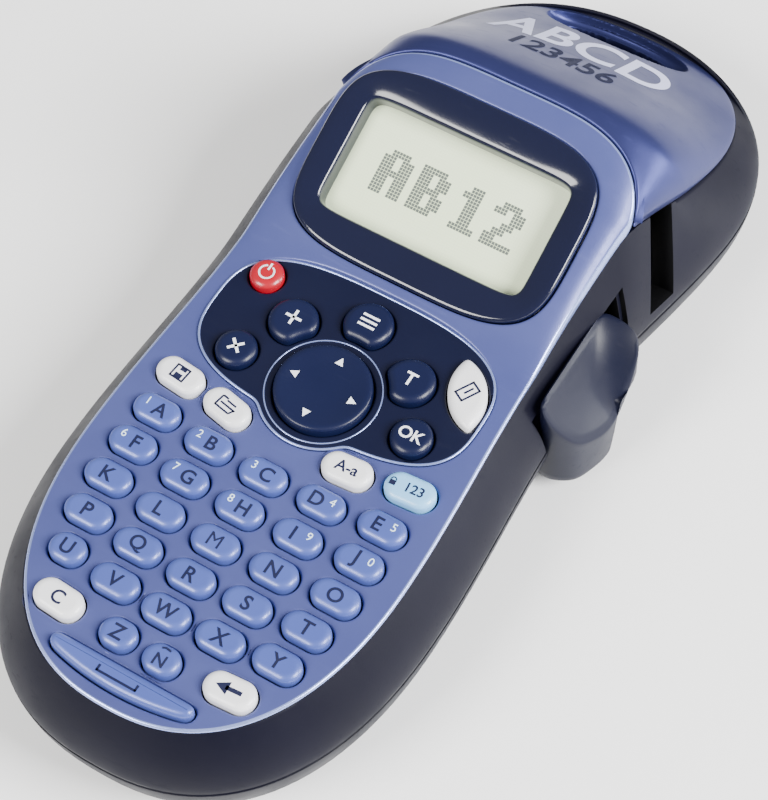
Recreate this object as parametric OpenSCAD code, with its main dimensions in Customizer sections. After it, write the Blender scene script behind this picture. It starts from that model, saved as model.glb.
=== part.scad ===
// Handheld label maker with an alphabet keypad, laid on its back.
// +Z points out of the keypad, +Y points to the cassette end, +X is the side
// where the labels come out. Z = 0 is the plane that the back rests on.

/* [Body] */
// Distance from the origin to the rounded handle end
tail_len = 104; // [95:1:125]
// Distance from the origin to the rounded cassette end
nose_len = 104; // [98:1:120]
// Widest width of the handle, on the parting line
handle_w = 87; // [80:1:105]
// Width of the waist between handle and head
waist_w = 83; // [78:1:100]
// Widest width of the head, on the parting line
head_w = 90.4; // [86:0.2:112]
// How far the head leans towards the side where the labels come out
lean = 7.5; // [4:0.5:9]
// Height of the keypad face above the back
handle_h = 32; // [29:1:40]
// Height of the crest in front of the cassette cover
head_h = 52; // [48:1:62]
// Height of the parting line between the two dark shells
seam_h = 18; // [16:0.5:20]
// How far the side walls flare out from the face down to the parting line
flare = 6.8; // [4:0.2:8]
// How far the back draws in from the parting line
tuck = 8; // [4:0.5:10]
// Wall thickness of the shells
wall = 2.2; // [1.8:0.1:2.6]
// Gap between neighbouring shells
shell_gap = 0.3; // [0.2:0.05:0.6]

/* [Face plate] */
// Thickness of the coloured face plate
plate_t = 2.1; // [1.6:0.1:2.6]
// Angle of the display face to the keypad face
display_tilt = 22; // [16:1:26]
// Place of the crest along the body
crest_y = 54; // [50:1:58]
// Depth to which the control panel is let into the face plate
panel_inlay = 0.8; // [0.5:0.1:1.2]
// Height of the control panel above the face plate
panel_proud = 0.4; // [0.2:0.1:0.8]

/* [Keys] */
// Distance between key columns
column_pitch = 13.05; // [12.4:0.05:14]
// Distance between key rows
row_pitch = 8.55; // [8:0.05:9.5]
// Place of the outer keys of the first letter row
first_row_y = -39.5; // [-41:0.5:-38]
// How far the middle column hangs below the outer ones
row_smile = 1.7; // [0:0.1:3]
// Share by which each of the last two rows closes up
row_squeeze = 0.042; // [0:0.002:0.06]
// Length of a letter key
key_l = 10.2; // [8:0.1:10.6]
// Width of a letter key
key_w = 6.2; // [5:0.1:6.6]
// Length of the three short letter keys
short_key_l = 7.8; // [7:0.1:8.4]
// Height of a key above its surface
key_rise = 1.9; // [1.4:0.1:3]
// Travel of a key
key_travel = 1.2; // [0.8:0.1:1.6]
// Gap around a key in its hole
key_gap = 0.35; // [0.2:0.05:0.5]
// Width of the flange that keeps a key under the face plate
key_flange = 0.4; // [0.3:0.05:0.45]
// Radius of the round navigation pad
pad_r = 10; // [9:0.1:11]
// Radius of the lobe around the navigation pad
lobe_r = 13.2; // [12.6:0.1:14]
// Place of the navigation pad along the body
pad_y = -19; // [-20:0.5:-18]

/* [Display] */
// Width of the display bezel
bezel_w = 60; // [54:1:62]
// Length of the display bezel along its slope
bezel_l = 41.5; // [38:0.5:42]
// Width of the display window
window_w = 47.4; // [40:0.2:48]
// Length of the display window along its slope
window_l = 25.4; // [22:0.2:26]
// Depth of the liquid crystal panel below the bezel
lcd_depth = 4.2; // [3.4:0.1:5]
// Thickness of the liquid crystal panel
lcd_t = 2.4; // [1.8:0.1:3]

/* [Cassette bay] */
// Width of the cassette cover at its lower rim
cover_w = 72; // [68:0.5:76]
// Height of the cover's rim below the crest
rim_h = 36.2; // [34:0.2:38]
// Fall of the cover's rim for each millimetre towards the nose
rim_slope = 0.38; // [0.3:0.01:0.4]
// Thickness of the bay floor and its walls
bay_wall = 1.5; // [1.2:0.1:2]
// Width of the label tape
tape_w = 12; // [9:0.5:12]
// Width of the cassette body
cassette_w = 54; // [46:1:56]
// Length of the cassette body
cassette_l = 20; // [16:0.5:21]
// Height of the cassette body
cassette_h = 14; // [13.5:0.1:14.5]
// Width of the label outlet along the body
outlet_w = 9; // [8:0.5:10]
// Place of the label outlet's near edge
outlet_y = 41.5; // [41:0.5:42.5]

/* [Print mechanism] */
// Radius of the rubber platen roller
platen_r = 3.6; // [3:0.1:4]
// Radius of the platen's shaft
shaft_r = 1.25; // [1:0.05:1.5]
// Radial clearance of shafts and pins in their bores
fit = 0.05; // [0.03:0.01:0.08]
// Radius of the drive motor
motor_r = 5.5; // [4.5:0.1:6]

/* [Cutter lever] */
// Length of the lever along the body
lever_l = 35; // [30:1:37]
// Near end of the lever
lever_y = -8; // [-10:0.5:-6]
// Outermost reach of the lever from the middle plane
lever_reach = 50.5; // [49:0.5:54]
// Height of the lever's lower face above the back
lever_z = 4; // [3:0.5:6]

/* [Batteries] */
// Diameter of one cell
cell_d = 14.5; // [14:0.1:14.5]
// Length of one cell with its button
cell_l = 50.5; // [49:0.5:50.5]
// Number of cells side by side
cell_count = 4; // [2:1:4]
// Height of the battery door's edge above the back
door_h = 6; // [5:0.5:7]
// Place of the battery door's end nearest the head
door_y = -26; // [-26.5:0.5:-25]

/* [Screws] */
// Radius of a screw's head
screw_head_r = 2.8; // [2.4:0.1:3]
// Radius of a screw's shank
screw_r = 1.4; // [1.2:0.1:1.6]

/* [Hidden] */
LETTER_ROWS = ["abcde", "fghij", "klmno", "pqrst", "uvwxy"];
LETTERS = [for (r = [0:4]) for (c = [0:4]) [str("key_", LETTER_ROWS[r][c]), r, c]];
OTHER_KEYS = [
    "key_z", "key_enye", "key_space", "key_clear", "key_backspace", "key_save", "key_open",
    "key_caps", "key_numbers", "key_power", "key_cancel", "key_insert", "key_settings",
    "key_format", "key_ok", "key_print", "key_navigation"
];

$fn = 48;
eps = 0.01;
far = 400;

// Plan of the body: superellipse ends joined by sides with a waist, about a
// middle line that leans over in the head.
tail_c = -45;
head_c = 58;
waist_y = 4;
tail_power = 2.35;
head_power = 2.2;
lean_from = 10;
lean_length = 85;

function lerp(a, b, t) = a + (b - a) * t;
function clamp01(t) = min(1, max(0, t));
function ease(t) = let (u = clamp01(t)) u * u * (3 - 2 * u);
function signed_pow(v, p) = sign(v) * pow(abs(v), p);
function super_point(a, b, n, angle) =
    [a * signed_pow(cos(angle), 2 / n), b * signed_pow(sin(angle), 2 / n)];
function mid_x(y) = lean * ease((y - lean_from) / lean_length);
function half_width(y) = y < waist_y
    ? lerp(handle_w / 2, waist_w / 2, ease((y - tail_c) / (waist_y - tail_c)))
    : lerp(waist_w / 2, head_w / 2, ease((y - waist_y) / (head_c - waist_y)));
function leaned(points) = [for (p = points) [p[0] + mid_x(p[1]), p[1]]];

// Points of one end, turned from the +X side to the -X side.
function end_points(a, b, n, centre, from, to, steps) =
    [for (i = [0:steps]) let (p = super_point(a, b, n, lerp(from, to, i / steps)))
        [p[0], centre + p[1]]];
// Points up one side and down the other between two ends.
function up_side(half, from, to, steps) =
    [for (i = [0:steps]) let (y = lerp(from, to, i / steps)) [half(y), y]];
function down_side(half, from, to, steps) =
    [for (i = [steps:-1:0]) let (y = lerp(from, to, i / steps)) [-half(y), y]];
handle_end = waist_y + 6;
function handle_points(inset) = concat(
    end_points(handle_w / 2 - inset, tail_len + tail_c - inset, tail_power, tail_c, 180, 360, 36),
    up_side(function(y) half_width(y) - inset, tail_c + 6, handle_end, 7),
    down_side(function(y) half_width(y) - inset, tail_c + 6, handle_end, 7)
);
function head_points(inset, reach) = leaned(concat(
    up_side(function(y) half_width(y) - inset, waist_y, head_c - 6, 7),
    end_points(head_w / 2 - inset, reach - head_c, head_power, head_c, 0, 180, 36),
    down_side(function(y) half_width(y) - inset, waist_y, head_c - 6, 7)
));

// The cover's rim lies in a plane that falls towards the nose.
rim_front = 37;
rim_power = 2.6;
rim_angle = atan(rim_slope);
rim_tip = nose_len - 1.5;
function rim_z(y) = rim_h - (y - crest_y) * rim_slope;
function rim_half(y) = lerp(cover_w / 2 - 1.5, cover_w / 2, clamp01((y - rim_front) / (head_c - rim_front)));
function rim_points(inset) = leaned(concat(
    up_side(function(y) rim_half(y) - inset, rim_front, head_c - 6, 4),
    end_points(cover_w / 2 - inset, rim_tip - inset - head_c, rim_power, head_c, 0, 180, 36),
    down_side(function(y) rim_half(y) - inset, rim_front, head_c - 6, 4)
));
module on_rim_plane(drop) {
    translate([0, crest_y, rim_h - drop]) rotate([-rim_angle, 0, 0]) children();
}

module slab(z) {
    translate([0, 0, z]) linear_extrude(eps) children();
}

// Upright slice of the head: a flat crown with steep shoulders.
crest_power = 4.5;
module crown_slice(y, crown, inset) {
    points = end_points(cover_w / 2 - inset, crown - inset - rim_z(y), crest_power, rim_z(y), 0, 180, 32);
    translate([mid_x(y), y, 0]) rotate([90, 0, 0]) linear_extrude(eps) polygon(points);
}

module handle_form(inset) {
    hull() {
        slab(inset) polygon(handle_points(tuck + inset));
        slab(seam_h) polygon(handle_points(inset));
        slab(handle_h - inset) polygon(handle_points(flare + inset));
    }
}

crest_run = 7;
crest_fall = 3.2;
module head_form(inset) {
    hull() {
        slab(inset) polygon(head_points(tuck + inset, nose_len - tuck - inset));
        slab(seam_h) polygon(head_points(inset, nose_len - inset));
        slab(handle_h - inset) translate([0, ramp_y]) square([2 * (half_width(ramp_y) - flare - inset), eps], center = true);
        on_rim_plane(inset / 2) linear_extrude(eps)
            polygon([for (p = rim_points(inset)) [p[0], (p[1] - crest_y) / cos(rim_angle)]]);
        crown_slice(crest_y, head_h, inset);
        crown_slice(crest_y + crest_run, head_h - crest_fall, inset);
    }
}

// The display slopes from the keypad face up to the crest.
ramp_y = crest_y - (head_h - handle_h) / tan(display_tilt);

module body_form(inset) {
    handle_form(inset);
    head_form(inset);
}

module above(z) {
    translate([-far / 2, -far / 2, z]) cube([far, far, far]);
}

module below(z) {
    translate([-far / 2, -far / 2, z - far]) cube([far, far, far]);
}

// Plan of the face plate. Its far end is the seam towards the cover, which
// wraps round the display as a superellipse.
seam_c = 20;
seam_a = 36;
seam_b = crest_y - 0.5 - seam_c;
seam_power = 4;
seam_x = mid_x(crest_y - 14);
seam_slant = 0.5;
face_end = crest_y + 8;
function face_half(y) = y < ramp_y
    ? half_width(y) - flare
    : lerp(half_width(ramp_y) - flare, rim_half(y), clamp01((y - ramp_y) / (rim_front - ramp_y)));
function face_points(inset) = leaned(concat(
    end_points(handle_w / 2 - flare - inset, tail_len + tail_c - flare - inset, tail_power,
        tail_c, 180, 360, 36),
    up_side(function(y) face_half(y) - inset, tail_c + 3, face_end, 18),
    down_side(function(y) face_half(y) - inset, tail_c + 3, face_end, 18)
));

// Everything in front of the slanted seam between face plate and cover.
module seam_prism(gap) {
    hull() {
        for (z = [seam_h, head_h + 6]) {
            grow = gap + (head_h - z) * seam_slant;
            slab(z) translate([seam_x, 0])
                polygon(end_points(seam_a + max(gap, grow - 4), seam_b + grow, seam_power, seam_c, 0, 360, 72));
        }
    }
}

module above_rim(gap) {
    rotate([90, 0, 90])
        translate([0, 0, -far / 2])
            linear_extrude(far)
                polygon([
                    [rim_front, rim_z(rim_front) + gap],
                    [far, rim_z(far) + gap],
                    [far, far],
                    [rim_front, far]
                ]);
}

// ---------------------------------------------------------------- keys

function letter_place(r, c) = [
    (c - 2) * column_pitch * (1 - row_squeeze * max(0, r - 2)),
    first_row_y - r * row_pitch - row_smile * (1 - pow((c - 2) / 2, 2)),
    0
];
short_row_y = first_row_y - 5.2 * row_pitch;
side_key_l = 10.4;
side_key_w = 6.4;
round_key_r = 4.3;
menu_key_r = 5.2;
power_key_r = 3.6;
menu_ring = 17.4;
// Place and turn of each key that isn't in the letter block.
function other_place(name) =
    name == "key_z" ? [-5.3, short_row_y + 0.2, 0] :
    name == "key_enye" ? [4.8, short_row_y - 0.2, 0] :
    name == "key_clear" ? [-19.3, short_row_y + 0.6, -4] :
    name == "key_backspace" ? [19.3, short_row_y + 1, 4] :
    name == "key_save" ? [-26.5, -30.4, -6] :
    name == "key_open" ? [-14.4, -32, -12] :
    name == "key_caps" ? [13.6, -32, 4] :
    name == "key_numbers" ? [26.6, -29.8, 4] :
    name == "key_power" ? [-24.3, -1.6, 0] :
    name == "key_cancel" ? [-20.2, pad_y - 0.6, 0] :
    name == "key_insert" ? [-menu_ring * sin(52), pad_y + menu_ring * cos(52), 0] :
    name == "key_settings" ? [0, pad_y + menu_ring, 0] :
    name == "key_format" ? [menu_ring * sin(54), pad_y + menu_ring * cos(54), 0] :
    name == "key_ok" ? [20.8, pad_y - 0.6, 0] :
    name == "key_print" ? [25.4, -5.6, -60] :
    name == "key_navigation" ? [0, pad_y, 0] :
    [0, 0, 0];

module stadium(l, w) {
    square([l - w, w], center = true);
    for (s = [-1, 1]) {
        translate([s * (l - w) / 2, 0]) circle(d = w);
    }
}

// Round key with a bite that follows the lobe of the navigation pad.
module menu_key(place, grow) {
    difference() {
        circle(r = menu_key_r + grow);
        translate([-place[0], pad_y - place[1]]) circle(r = lobe_r - grow);
    }
}

// Almond key between two arcs.
print_key_l = 16.6;
print_key_w = 8;
module print_key(grow) {
    arc_r = (pow(print_key_l, 2) + pow(print_key_w, 2)) / (4 * print_key_w);
    intersection() {
        translate([0, arc_r - print_key_w / 2]) circle(r = arc_r + grow, $fn = 96);
        translate([0, print_key_w / 2 - arc_r]) circle(r = arc_r + grow, $fn = 96);
    }
}

// Space bar between a chord and an arc that follows the face's lower end.
space_top = -89;
space_w = 5;
space_l = 32.4;
space_arc_r = 60;
module space_bar(grow) {
    intersection() {
        translate([-space_l / 2 - grow, space_top - 3 * space_w]) square([space_l + 2 * grow, 3 * space_w + grow]);
        translate([0, space_top - space_w + space_arc_r]) circle(r = space_arc_r + grow, $fn = 180);
    }
}

module key_plan(name, place, grow) {
    translate([place[0], place[1]]) rotate(place[2]) {
        if (name == "key_navigation") circle(r = pad_r + grow);
        else if (name == "key_power") circle(r = power_key_r + grow);
        else if (name == "key_cancel" || name == "key_ok") circle(r = round_key_r + grow);
        else if (name == "key_insert" || name == "key_settings" || name == "key_format")
            menu_key(place, grow);
        else if (name == "key_print") print_key(grow);
        else if (name == "key_space") space_bar(grow);
        else if (name == "key_z" || name == "key_enye" || name == "key_u")
            stadium(short_key_l + 2 * grow, key_w + 2 * grow);
        else if (name == "key_clear" || name == "key_backspace" || name == "key_save"
            || name == "key_open" || name == "key_caps" || name == "key_numbers")
            stadium(side_key_l + 2 * grow, side_key_w + 2 * grow);
        else stadium(key_l + 2 * grow, key_w + 2 * grow);
    }
}

PANEL_KEYS = [
    "key_power", "key_cancel", "key_insert", "key_settings", "key_format", "key_ok",
    "key_print", "key_navigation"
];
function is_panel_key(name) = len([for (k = PANEL_KEYS) if (k == name) k]) > 0;

module every_key_plan(grow) {
    for (k = LETTERS) key_plan(k[0], letter_place(k[1], k[2]), grow);
    for (name = OTHER_KEYS) key_plan(name, other_place(name), grow);
}

key_colours = [
    ["key_power", "crimson"], ["key_numbers", "powderblue"], ["key_clear", "white"],
    ["key_backspace", "white"], ["key_save", "white"], ["key_open", "white"],
    ["key_caps", "white"], ["key_print", "white"], ["key_cancel", "midnightblue"],
    ["key_insert", "midnightblue"], ["key_settings", "midnightblue"],
    ["key_format", "midnightblue"], ["key_ok", "midnightblue"],
    ["key_navigation", "midnightblue"]
];
function key_colour(name) =
    let (found = [for (c = key_colours) if (c[0] == name) c[1]])
    len(found) > 0 ? found[0] : "cornflowerblue";

// A cap through the face plate, a stepped crown and a flange under the plate.
flange_t = 0.8;
flange_drop = 0.15;
crown_step = 0.5;
module key(name, place) {
    flange_top = handle_h - plate_t - flange_drop;
    top = handle_h + key_rise + (is_panel_key(name) ? panel_proud : 0);
    color(key_colour(name)) {
        translate([0, 0, flange_top - flange_t]) linear_extrude(flange_t) key_plan(name, place, key_flange + key_gap);
        translate([0, 0, flange_top - eps]) linear_extrude(top - crown_step - flange_top) key_plan(name, place, 0);
        translate([0, 0, flange_top]) linear_extrude(top - flange_top) key_plan(name, place, -crown_step);
    }
}

// ---------------------------------------------------------------- face

bezel_power = 4;
bezel_y = (9.2 + 47.6) / 2;
bezel_proud = 0.4;
module on_display() {
    translate([0, bezel_y, handle_h + (bezel_y - ramp_y) * tan(display_tilt)])
        rotate([display_tilt, 0, 0])
            children();
}

module bezel_plan(grow) {
    polygon(end_points(bezel_w / 2 + grow, bezel_l / 2 + grow, bezel_power, 0, 0, 360, 72));
}

module rounded_rectangle(w, l, r) {
    square([w, l - 2 * r], center = true);
    square([w - 2 * r, l], center = true);
    for (x = [-1, 1], y = [-1, 1]) {
        translate([x * (w / 2 - r), y * (l / 2 - r)]) circle(r = r);
    }
}

window_r = 2.5;
bezel_seat = 1.6;
seat_gap = 0.05;
module face_plate() {
    color("cornflowerblue")
    difference() {
        intersection() {
            body_form(0);
            translate([0, 0, seam_h]) linear_extrude(far) polygon(face_points(0));
            seam_prism(0);
        }
        body_form(plate_t);
        lever_window();
        translate([0, 0, handle_h - plate_t - 1]) linear_extrude(plate_t + 2) every_key_plan(key_gap);
        translate([0, 0, handle_h - panel_inlay]) linear_extrude(far) panel_plan(seat_gap);
        on_display() {
            translate([0, 0, -bezel_seat]) linear_extrude(far) bezel_plan(seat_gap);
            translate([0, 0, -far / 2]) linear_extrude(far)
                rounded_rectangle(window_w + 6, window_l + 6, window_r + 2);
        }
    }
}

// Pillow outline of the control panel with a lobe round the navigation pad.
panel_a = 31;
panel_b = 17;
panel_y = -10.5;
panel_power = 3;
module panel_plan(grow) {
    polygon(end_points(panel_a + grow, panel_b + grow, panel_power, panel_y, 0, 360, 96));
    translate([0, pad_y]) circle(r = lobe_r + grow, $fn = 96);
}

module control_panel() {
    color("midnightblue")
    difference() {
        translate([0, 0, handle_h - panel_inlay]) linear_extrude(panel_inlay + panel_proud) panel_plan(0);
        translate([0, 0, handle_h - 2]) linear_extrude(4) every_key_plan(key_gap);
    }
}

module display_bezel() {
    color("navy")
    on_display() difference() {
        union() {
            translate([0, 0, -bezel_seat]) linear_extrude(bezel_seat + bezel_proud) bezel_plan(0);
            translate([0, 0, -lcd_depth]) linear_extrude(lcd_depth)
                rounded_rectangle(window_w + 5, window_l + 5, window_r + 2);
        }
        translate([0, 0, -lcd_depth - 1]) linear_extrude(lcd_depth - 0.6 + 1)
            rounded_rectangle(window_w, window_l, window_r);
    }
}

module lcd_panel() {
    color("honeydew")
    on_display() translate([0, 0, -lcd_depth - lcd_t])
        linear_extrude(lcd_t) square([window_w + 4, window_l + 4], center = true);
}

// ---------------------------------------------------------------- inside the handle

mat_t = 1.5;
mat_top = handle_h - plate_t - flange_drop - flange_t - key_travel - 0.15;
board_t = 1.6;
module handle_area(inset, end_y) {
    intersection() {
        polygon(face_points(inset));
        translate([-far / 2, -far]) square([far, far + end_y]);
    }
}

module keypad_mat() {
    color("gray")
    translate([0, 0, mat_top - mat_t]) linear_extrude(mat_t) handle_area(2.2, ramp_y - 1);
}

chip_t = 2;
module circuit_board() {
    color("darkgreen") {
        translate([0, 0, mat_top - mat_t - board_t]) linear_extrude(board_t) handle_area(1.8, ramp_y - 1);
        for (chip = [[0, -22, 14, 14], [-20, -14, 9, 6], [18, -16, 8, 10]]) {
            translate([chip[0] - chip[2] / 2, chip[1] - chip[3] / 2, mat_top - mat_t - board_t - chip_t])
                cube([chip[2], chip[3], chip_t + eps]);
        }
    }
}

// Cells lie side by side along the handle, between end walls.
cell_gap = 0.4;
cell_z = wall + 0.4 + cell_d / 2;
cell_pitch = cell_d + cell_gap;
bay_half = cell_count * cell_pitch / 2 + 0.4;
bay_end = door_y - 2;
bay_start = bay_end - cell_l - 1;
button_l = 1.2;
button_r = 2.6;
module cell() {
    rotate([-90, 0, 0]) {
        cylinder(d = cell_d, h = cell_l - button_l);
        cylinder(r = button_r, h = cell_l);
    }
}

module batteries() {
    color("goldenrod")
    for (i = [0:cell_count - 1]) {
        turn = i % 2 == 0 ? 0 : 180;
        translate([(i - (cell_count - 1) / 2) * cell_pitch, (bay_start + bay_end) / 2, cell_z])
            rotate(turn)
                translate([0, -cell_l / 2, 0])
                    cell();
    }
}

// ---------------------------------------------------------------- shells

head_screw_y = 80;
head_screw_x = 23;
SCREW_PLACES = [
    [-34, -16],
    [34, -16],
    [0, 16],
    [mid_x(head_screw_y) - head_screw_x, head_screw_y],
    [mid_x(head_screw_y) + head_screw_x, head_screw_y]
];
post_r = 3.8;
screw_l = 16;
screw_head_t = 1.8;
head_seat = 4;
head_clearance = 0.3;
drive_l = 3.2;
drive_w = 0.6;
drive_depth = 1;
module screws() {
    color("silver")
    for (p = SCREW_PLACES) {
        translate([p[0], p[1], head_seat]) {
            difference() {
                cylinder(r = screw_head_r, h = screw_head_t);
                for (turn = [0, 90]) {
                    rotate(turn) translate([-drive_l / 2, -drive_w / 2, -1])
                        cube([drive_l, drive_w, drive_depth + 1]);
                }
            }
            cylinder(r = screw_r, h = screw_l);
        }
    }
}

// Posts of one shell, with their bores left to the caller.
module posts(from, to) {
    for (p = SCREW_PLACES) {
        translate([p[0], p[1], from]) cylinder(r = post_r, h = to - from);
    }
}

module at_screws(z, r, h) {
    for (p = SCREW_PLACES) {
        translate([p[0], p[1], z]) cylinder(r = r, h = h);
    }
}

lever_bore_y = lever_y + 6;
lever_bore_x = 36;
lever_pin_r = 1.6;
lever_top = handle_h - 3.4;
lever_gap = 0.6;
lever_swing = 2;
// Opening in the shells, longer by the swing of the lever's far end.
module lever_window() {
    translate([lever_bore_x - 3, lever_y - lever_gap, lever_z - lever_gap])
        cube([far, lever_l + 2 * lever_gap + lever_swing, lever_top - lever_z + 2 * lever_gap]);
}

door_gap = 0.3;
module door_zone(gap) {
    translate([-far / 2, door_y - far + gap, -1]) cube([far, far, door_h + 1 + gap]);
}

motor_x = 30.5;
platen_y = outlet_y + 9.4;
floor_h = seam_h;
motor_top = seam_h - 0.2;
motor_h = 11;
module rear_shell() {
    color("darkslateblue")
    difference() {
        intersection() {
            body_form(0);
            below(seam_h);
        }
        difference() {
            body_form(wall);
            battery_tray();
            posts(0, seam_h);
            lever_boss();
            motor_cradle();
        }
        door_zone(door_gap);
        at_screws(-1, screw_r + head_clearance, seam_h + 2);
        at_screws(-1, screw_head_r + head_clearance, head_seat + screw_head_t + 1);
        lever_window();
    }
}

// Open tray that holds the cells from above, joined to the shell's walls.
tray_roof = cell_z + cell_d / 2 + 0.4;
module battery_tray() {
    sill_z = door_h + door_gap;
    difference() {
        union() {
            translate([-bay_half - bay_wall, bay_start - bay_wall, sill_z])
                cube([2 * (bay_half + bay_wall), bay_end - bay_start + 2 * bay_wall, tray_roof - sill_z + bay_wall]);
            translate([-far / 2, door_y - far, sill_z + 2]) cube([far, far, bay_wall]);
            translate([-far / 2, door_y + door_gap, 0]) cube([far, bay_wall, seam_h]);
        }
        translate([-bay_half, bay_start, -1]) cube([2 * bay_half, bay_end - bay_start, tray_roof + 1]);
    }
}

module lever_boss() {
    translate([lever_bore_x, lever_bore_y, 0]) difference() {
        cylinder(r = lever_pin_r + 1.6, h = lever_z - 0.4);
        translate([0, 0, wall - 0.6]) cylinder(r = lever_pin_r + fit, h = far);
    }
}

// Ring that the gearmotor drops into.
module motor_cradle() {
    translate([motor_x, platen_y, 0]) difference() {
        cylinder(r = motor_r + 2, h = motor_top - motor_h + 5);
        translate([0, 0, motor_top - motor_h]) cylinder(r = motor_r + 0.1, h = far);
    }
}

module battery_door() {
    color("darkslateblue")
    difference() {
        intersection() {
            body_form(0);
            door_zone(0);
        }
        body_form(wall);
        for (i = [0:3]) {
            translate([-12, door_y - 10 - 3 * i, -1]) cube([24, 1, 1.6]);
        }
    }
}

// Side walls, bay floor, bay partition and the posts that take the screws.
module front_shell() {
    color("midnightblue")
    difference() {
        union() {
            difference() {
                intersection() {
                    body_form(0);
                    above(seam_h);
                }
                body_form(wall);
                linear_extrude(far) polygon(face_points(-seat_gap));
            }
            intersection() {
                body_form(wall - eps);
                inner_structure();
            }
        }
        above_rim(-shell_gap);
        outlet_cut();
        lever_window();
        translate([motor_x, platen_y, floor_h - 1]) cylinder(r = shaft_r + fit, h = bay_wall + 2);
        blade_slit();
        at_screws(seam_h - 1, screw_r, head_seat + screw_l - seam_h + 1.3);
    }
}

chamber_x = 15;
chamber_y = outlet_y - 3.5;
back_wall_y = crest_y + 1;
chamber_h = 16;
rib_h = 3.5;
module inner_structure() {
    translate([-far / 2, back_wall_y, floor_h]) cube([far, far, bay_wall]);
    translate([chamber_x, chamber_y, floor_h]) cube([far, back_wall_y - chamber_y + bay_wall, bay_wall]);
    translate([-far / 2, back_wall_y, floor_h]) cube([far / 2 + chamber_x + bay_wall, bay_wall, chamber_h]);
    translate([chamber_x, chamber_y, floor_h]) cube([bay_wall, back_wall_y - chamber_y + bay_wall, chamber_h]);
    translate([chamber_x, chamber_y, floor_h]) cube([far, bay_wall, chamber_h]);
    posts(seam_h, seam_h + rib_h);
    // Ribs tie the posts in the handle to the side walls.
    translate([-far / 2, SCREW_PLACES[0][1] - 1, seam_h]) cube([far, 2, rib_h]);
    translate([-far / 2, SCREW_PLACES[2][1] - 1, seam_h]) cube([far / 2, 2, rib_h]);
}

module outlet_cut() {
    translate([blade_x + 1.5, outlet_y, floor_h + bay_wall + 1]) cube([far, outlet_w, far]);
}

blade_x = 35.4;
blade_t = 0.8;
blade_y = outlet_y - 0.2;
module blade_slit() {
    translate([blade_x - 0.6, chamber_y - 1, floor_h + bay_wall + 0.6])
        cube([blade_t + 1.2, bay_wall + 2, tape_w + 5]);
}

// ---------------------------------------------------------------- cassette cover

recess_y = nose_len - 11;
recess_x = mid_x(recess_y);
recess_l = 34;
recess_w = 11;
recess_z = 30;
recess_depth = 11;
slot_w = 24;
slot_l = 3;
module cassette_cover() {
    color("slateblue")
    difference() {
        intersection() {
            head_form(0);
            above_rim(0);
            above(seam_h + shell_gap);
        }
        head_form(wall);
        seam_prism(shell_gap);
        // Finger recess near the nose, with a slot along its near edge.
        translate([recess_x, recess_y, recess_z])
            scale([recess_l / 2, recess_w / 2, recess_depth]) sphere(1);
        translate([recess_x - slot_w / 2, recess_y - recess_w / 2, 0]) cube([slot_w, slot_l, far]);
    }
}

// ---------------------------------------------------------------- print mechanism

tape_t = 0.3;
tape_y = platen_y - platen_r - 0.3 - tape_t;
bay_top = floor_h + bay_wall;
module platen_roller() {
    color("dimgray")
    translate([motor_x, platen_y, 0]) {
        translate([0, 0, bay_top + 1.5]) cylinder(r = platen_r, h = tape_w + 2);
        translate([0, 0, motor_top - 4]) cylinder(r = shaft_r, h = bay_top + tape_w + 4.5 - motor_top + 4);
    }
}

module drive_motor() {
    color("lightslategray")
    translate([motor_x, platen_y, motor_top - motor_h]) difference() {
        cylinder(r = motor_r, h = motor_h);
        translate([0, 0, motor_h - 4.2]) cylinder(r = shaft_r + fit, h = 5);
    }
}

module print_head() {
    color("tan")
    translate([motor_x - 3, tape_y - 0.3 - 3, bay_top]) cube([5, 3, tape_w + 3.5]);
}

cassette_y = back_wall_y + bay_wall + 1;
cassette_power = 2.4;
nose_w = 8.5;
nose_x = chamber_x + bay_wall + 1;
module label_cassette() {
    color("gainsboro")
    translate([0, 0, bay_top + 0.2]) {
        linear_extrude(cassette_h) polygon(leaned(
            end_points(cassette_w / 2, cassette_l, cassette_power, cassette_y, 0, 180, 48)));
        translate([nose_x, tape_y - 2, 0]) cube([nose_w, cassette_y + 6 - tape_y, cassette_h - 2]);
        translate([nose_x + nose_w - 1, tape_y, 1]) cube([blade_x - nose_x - nose_w, tape_t, tape_w]);
    }
}

module cutter_blade() {
    color("silver")
    translate([blade_x, blade_y, bay_top + 1.2]) {
        rotate([90, 0, 90]) linear_extrude(blade_t)
            polygon([[-9, 0], [2, 0], [3.2, tape_w + 2], [-9, tape_w + 2]]);
    }
}

// Thumb piece outside, arm and pivot pin inside.
module cutter_lever() {
    color("midnightblue") {
        intersection() {
            translate([0, 0, lever_z]) linear_extrude(lever_top - lever_z) lever_plan();
            rotate([90, 0, 0]) translate([0, 0, -far / 2]) linear_extrude(far) lever_section();
        }
        translate([lever_bore_x, lever_bore_y, wall + 1.2]) cylinder(r = lever_pin_r, h = 12);
    }
}

module lever_plan() {
    bulge_r = 24;
    difference() {
        intersection() {
            translate([lever_bore_x - 1.8, lever_y]) square([lever_reach - lever_bore_x + 1.8, lever_l]);
            translate([lever_reach - bulge_r, lever_y + lever_l * 0.55]) circle(r = bulge_r, $fn = 96);
        }
        translate([lever_bore_x - 2, lever_y + 14]) square([3, lever_l]);
    }
}

module lever_section() {
    top = lever_top;
    difference() {
        polygon([
            [lever_bore_x - 2, lever_z],
            [lever_reach - 3, lever_z],
            [lever_reach, lever_z + 4],
            [lever_reach, top - 8],
            [lever_bore_x + 5, top],
            [lever_bore_x - 2, top]
        ]);
        translate([lever_reach + 2, top + 10]) circle(r = 15, $fn = 96);
    }
}

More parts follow.
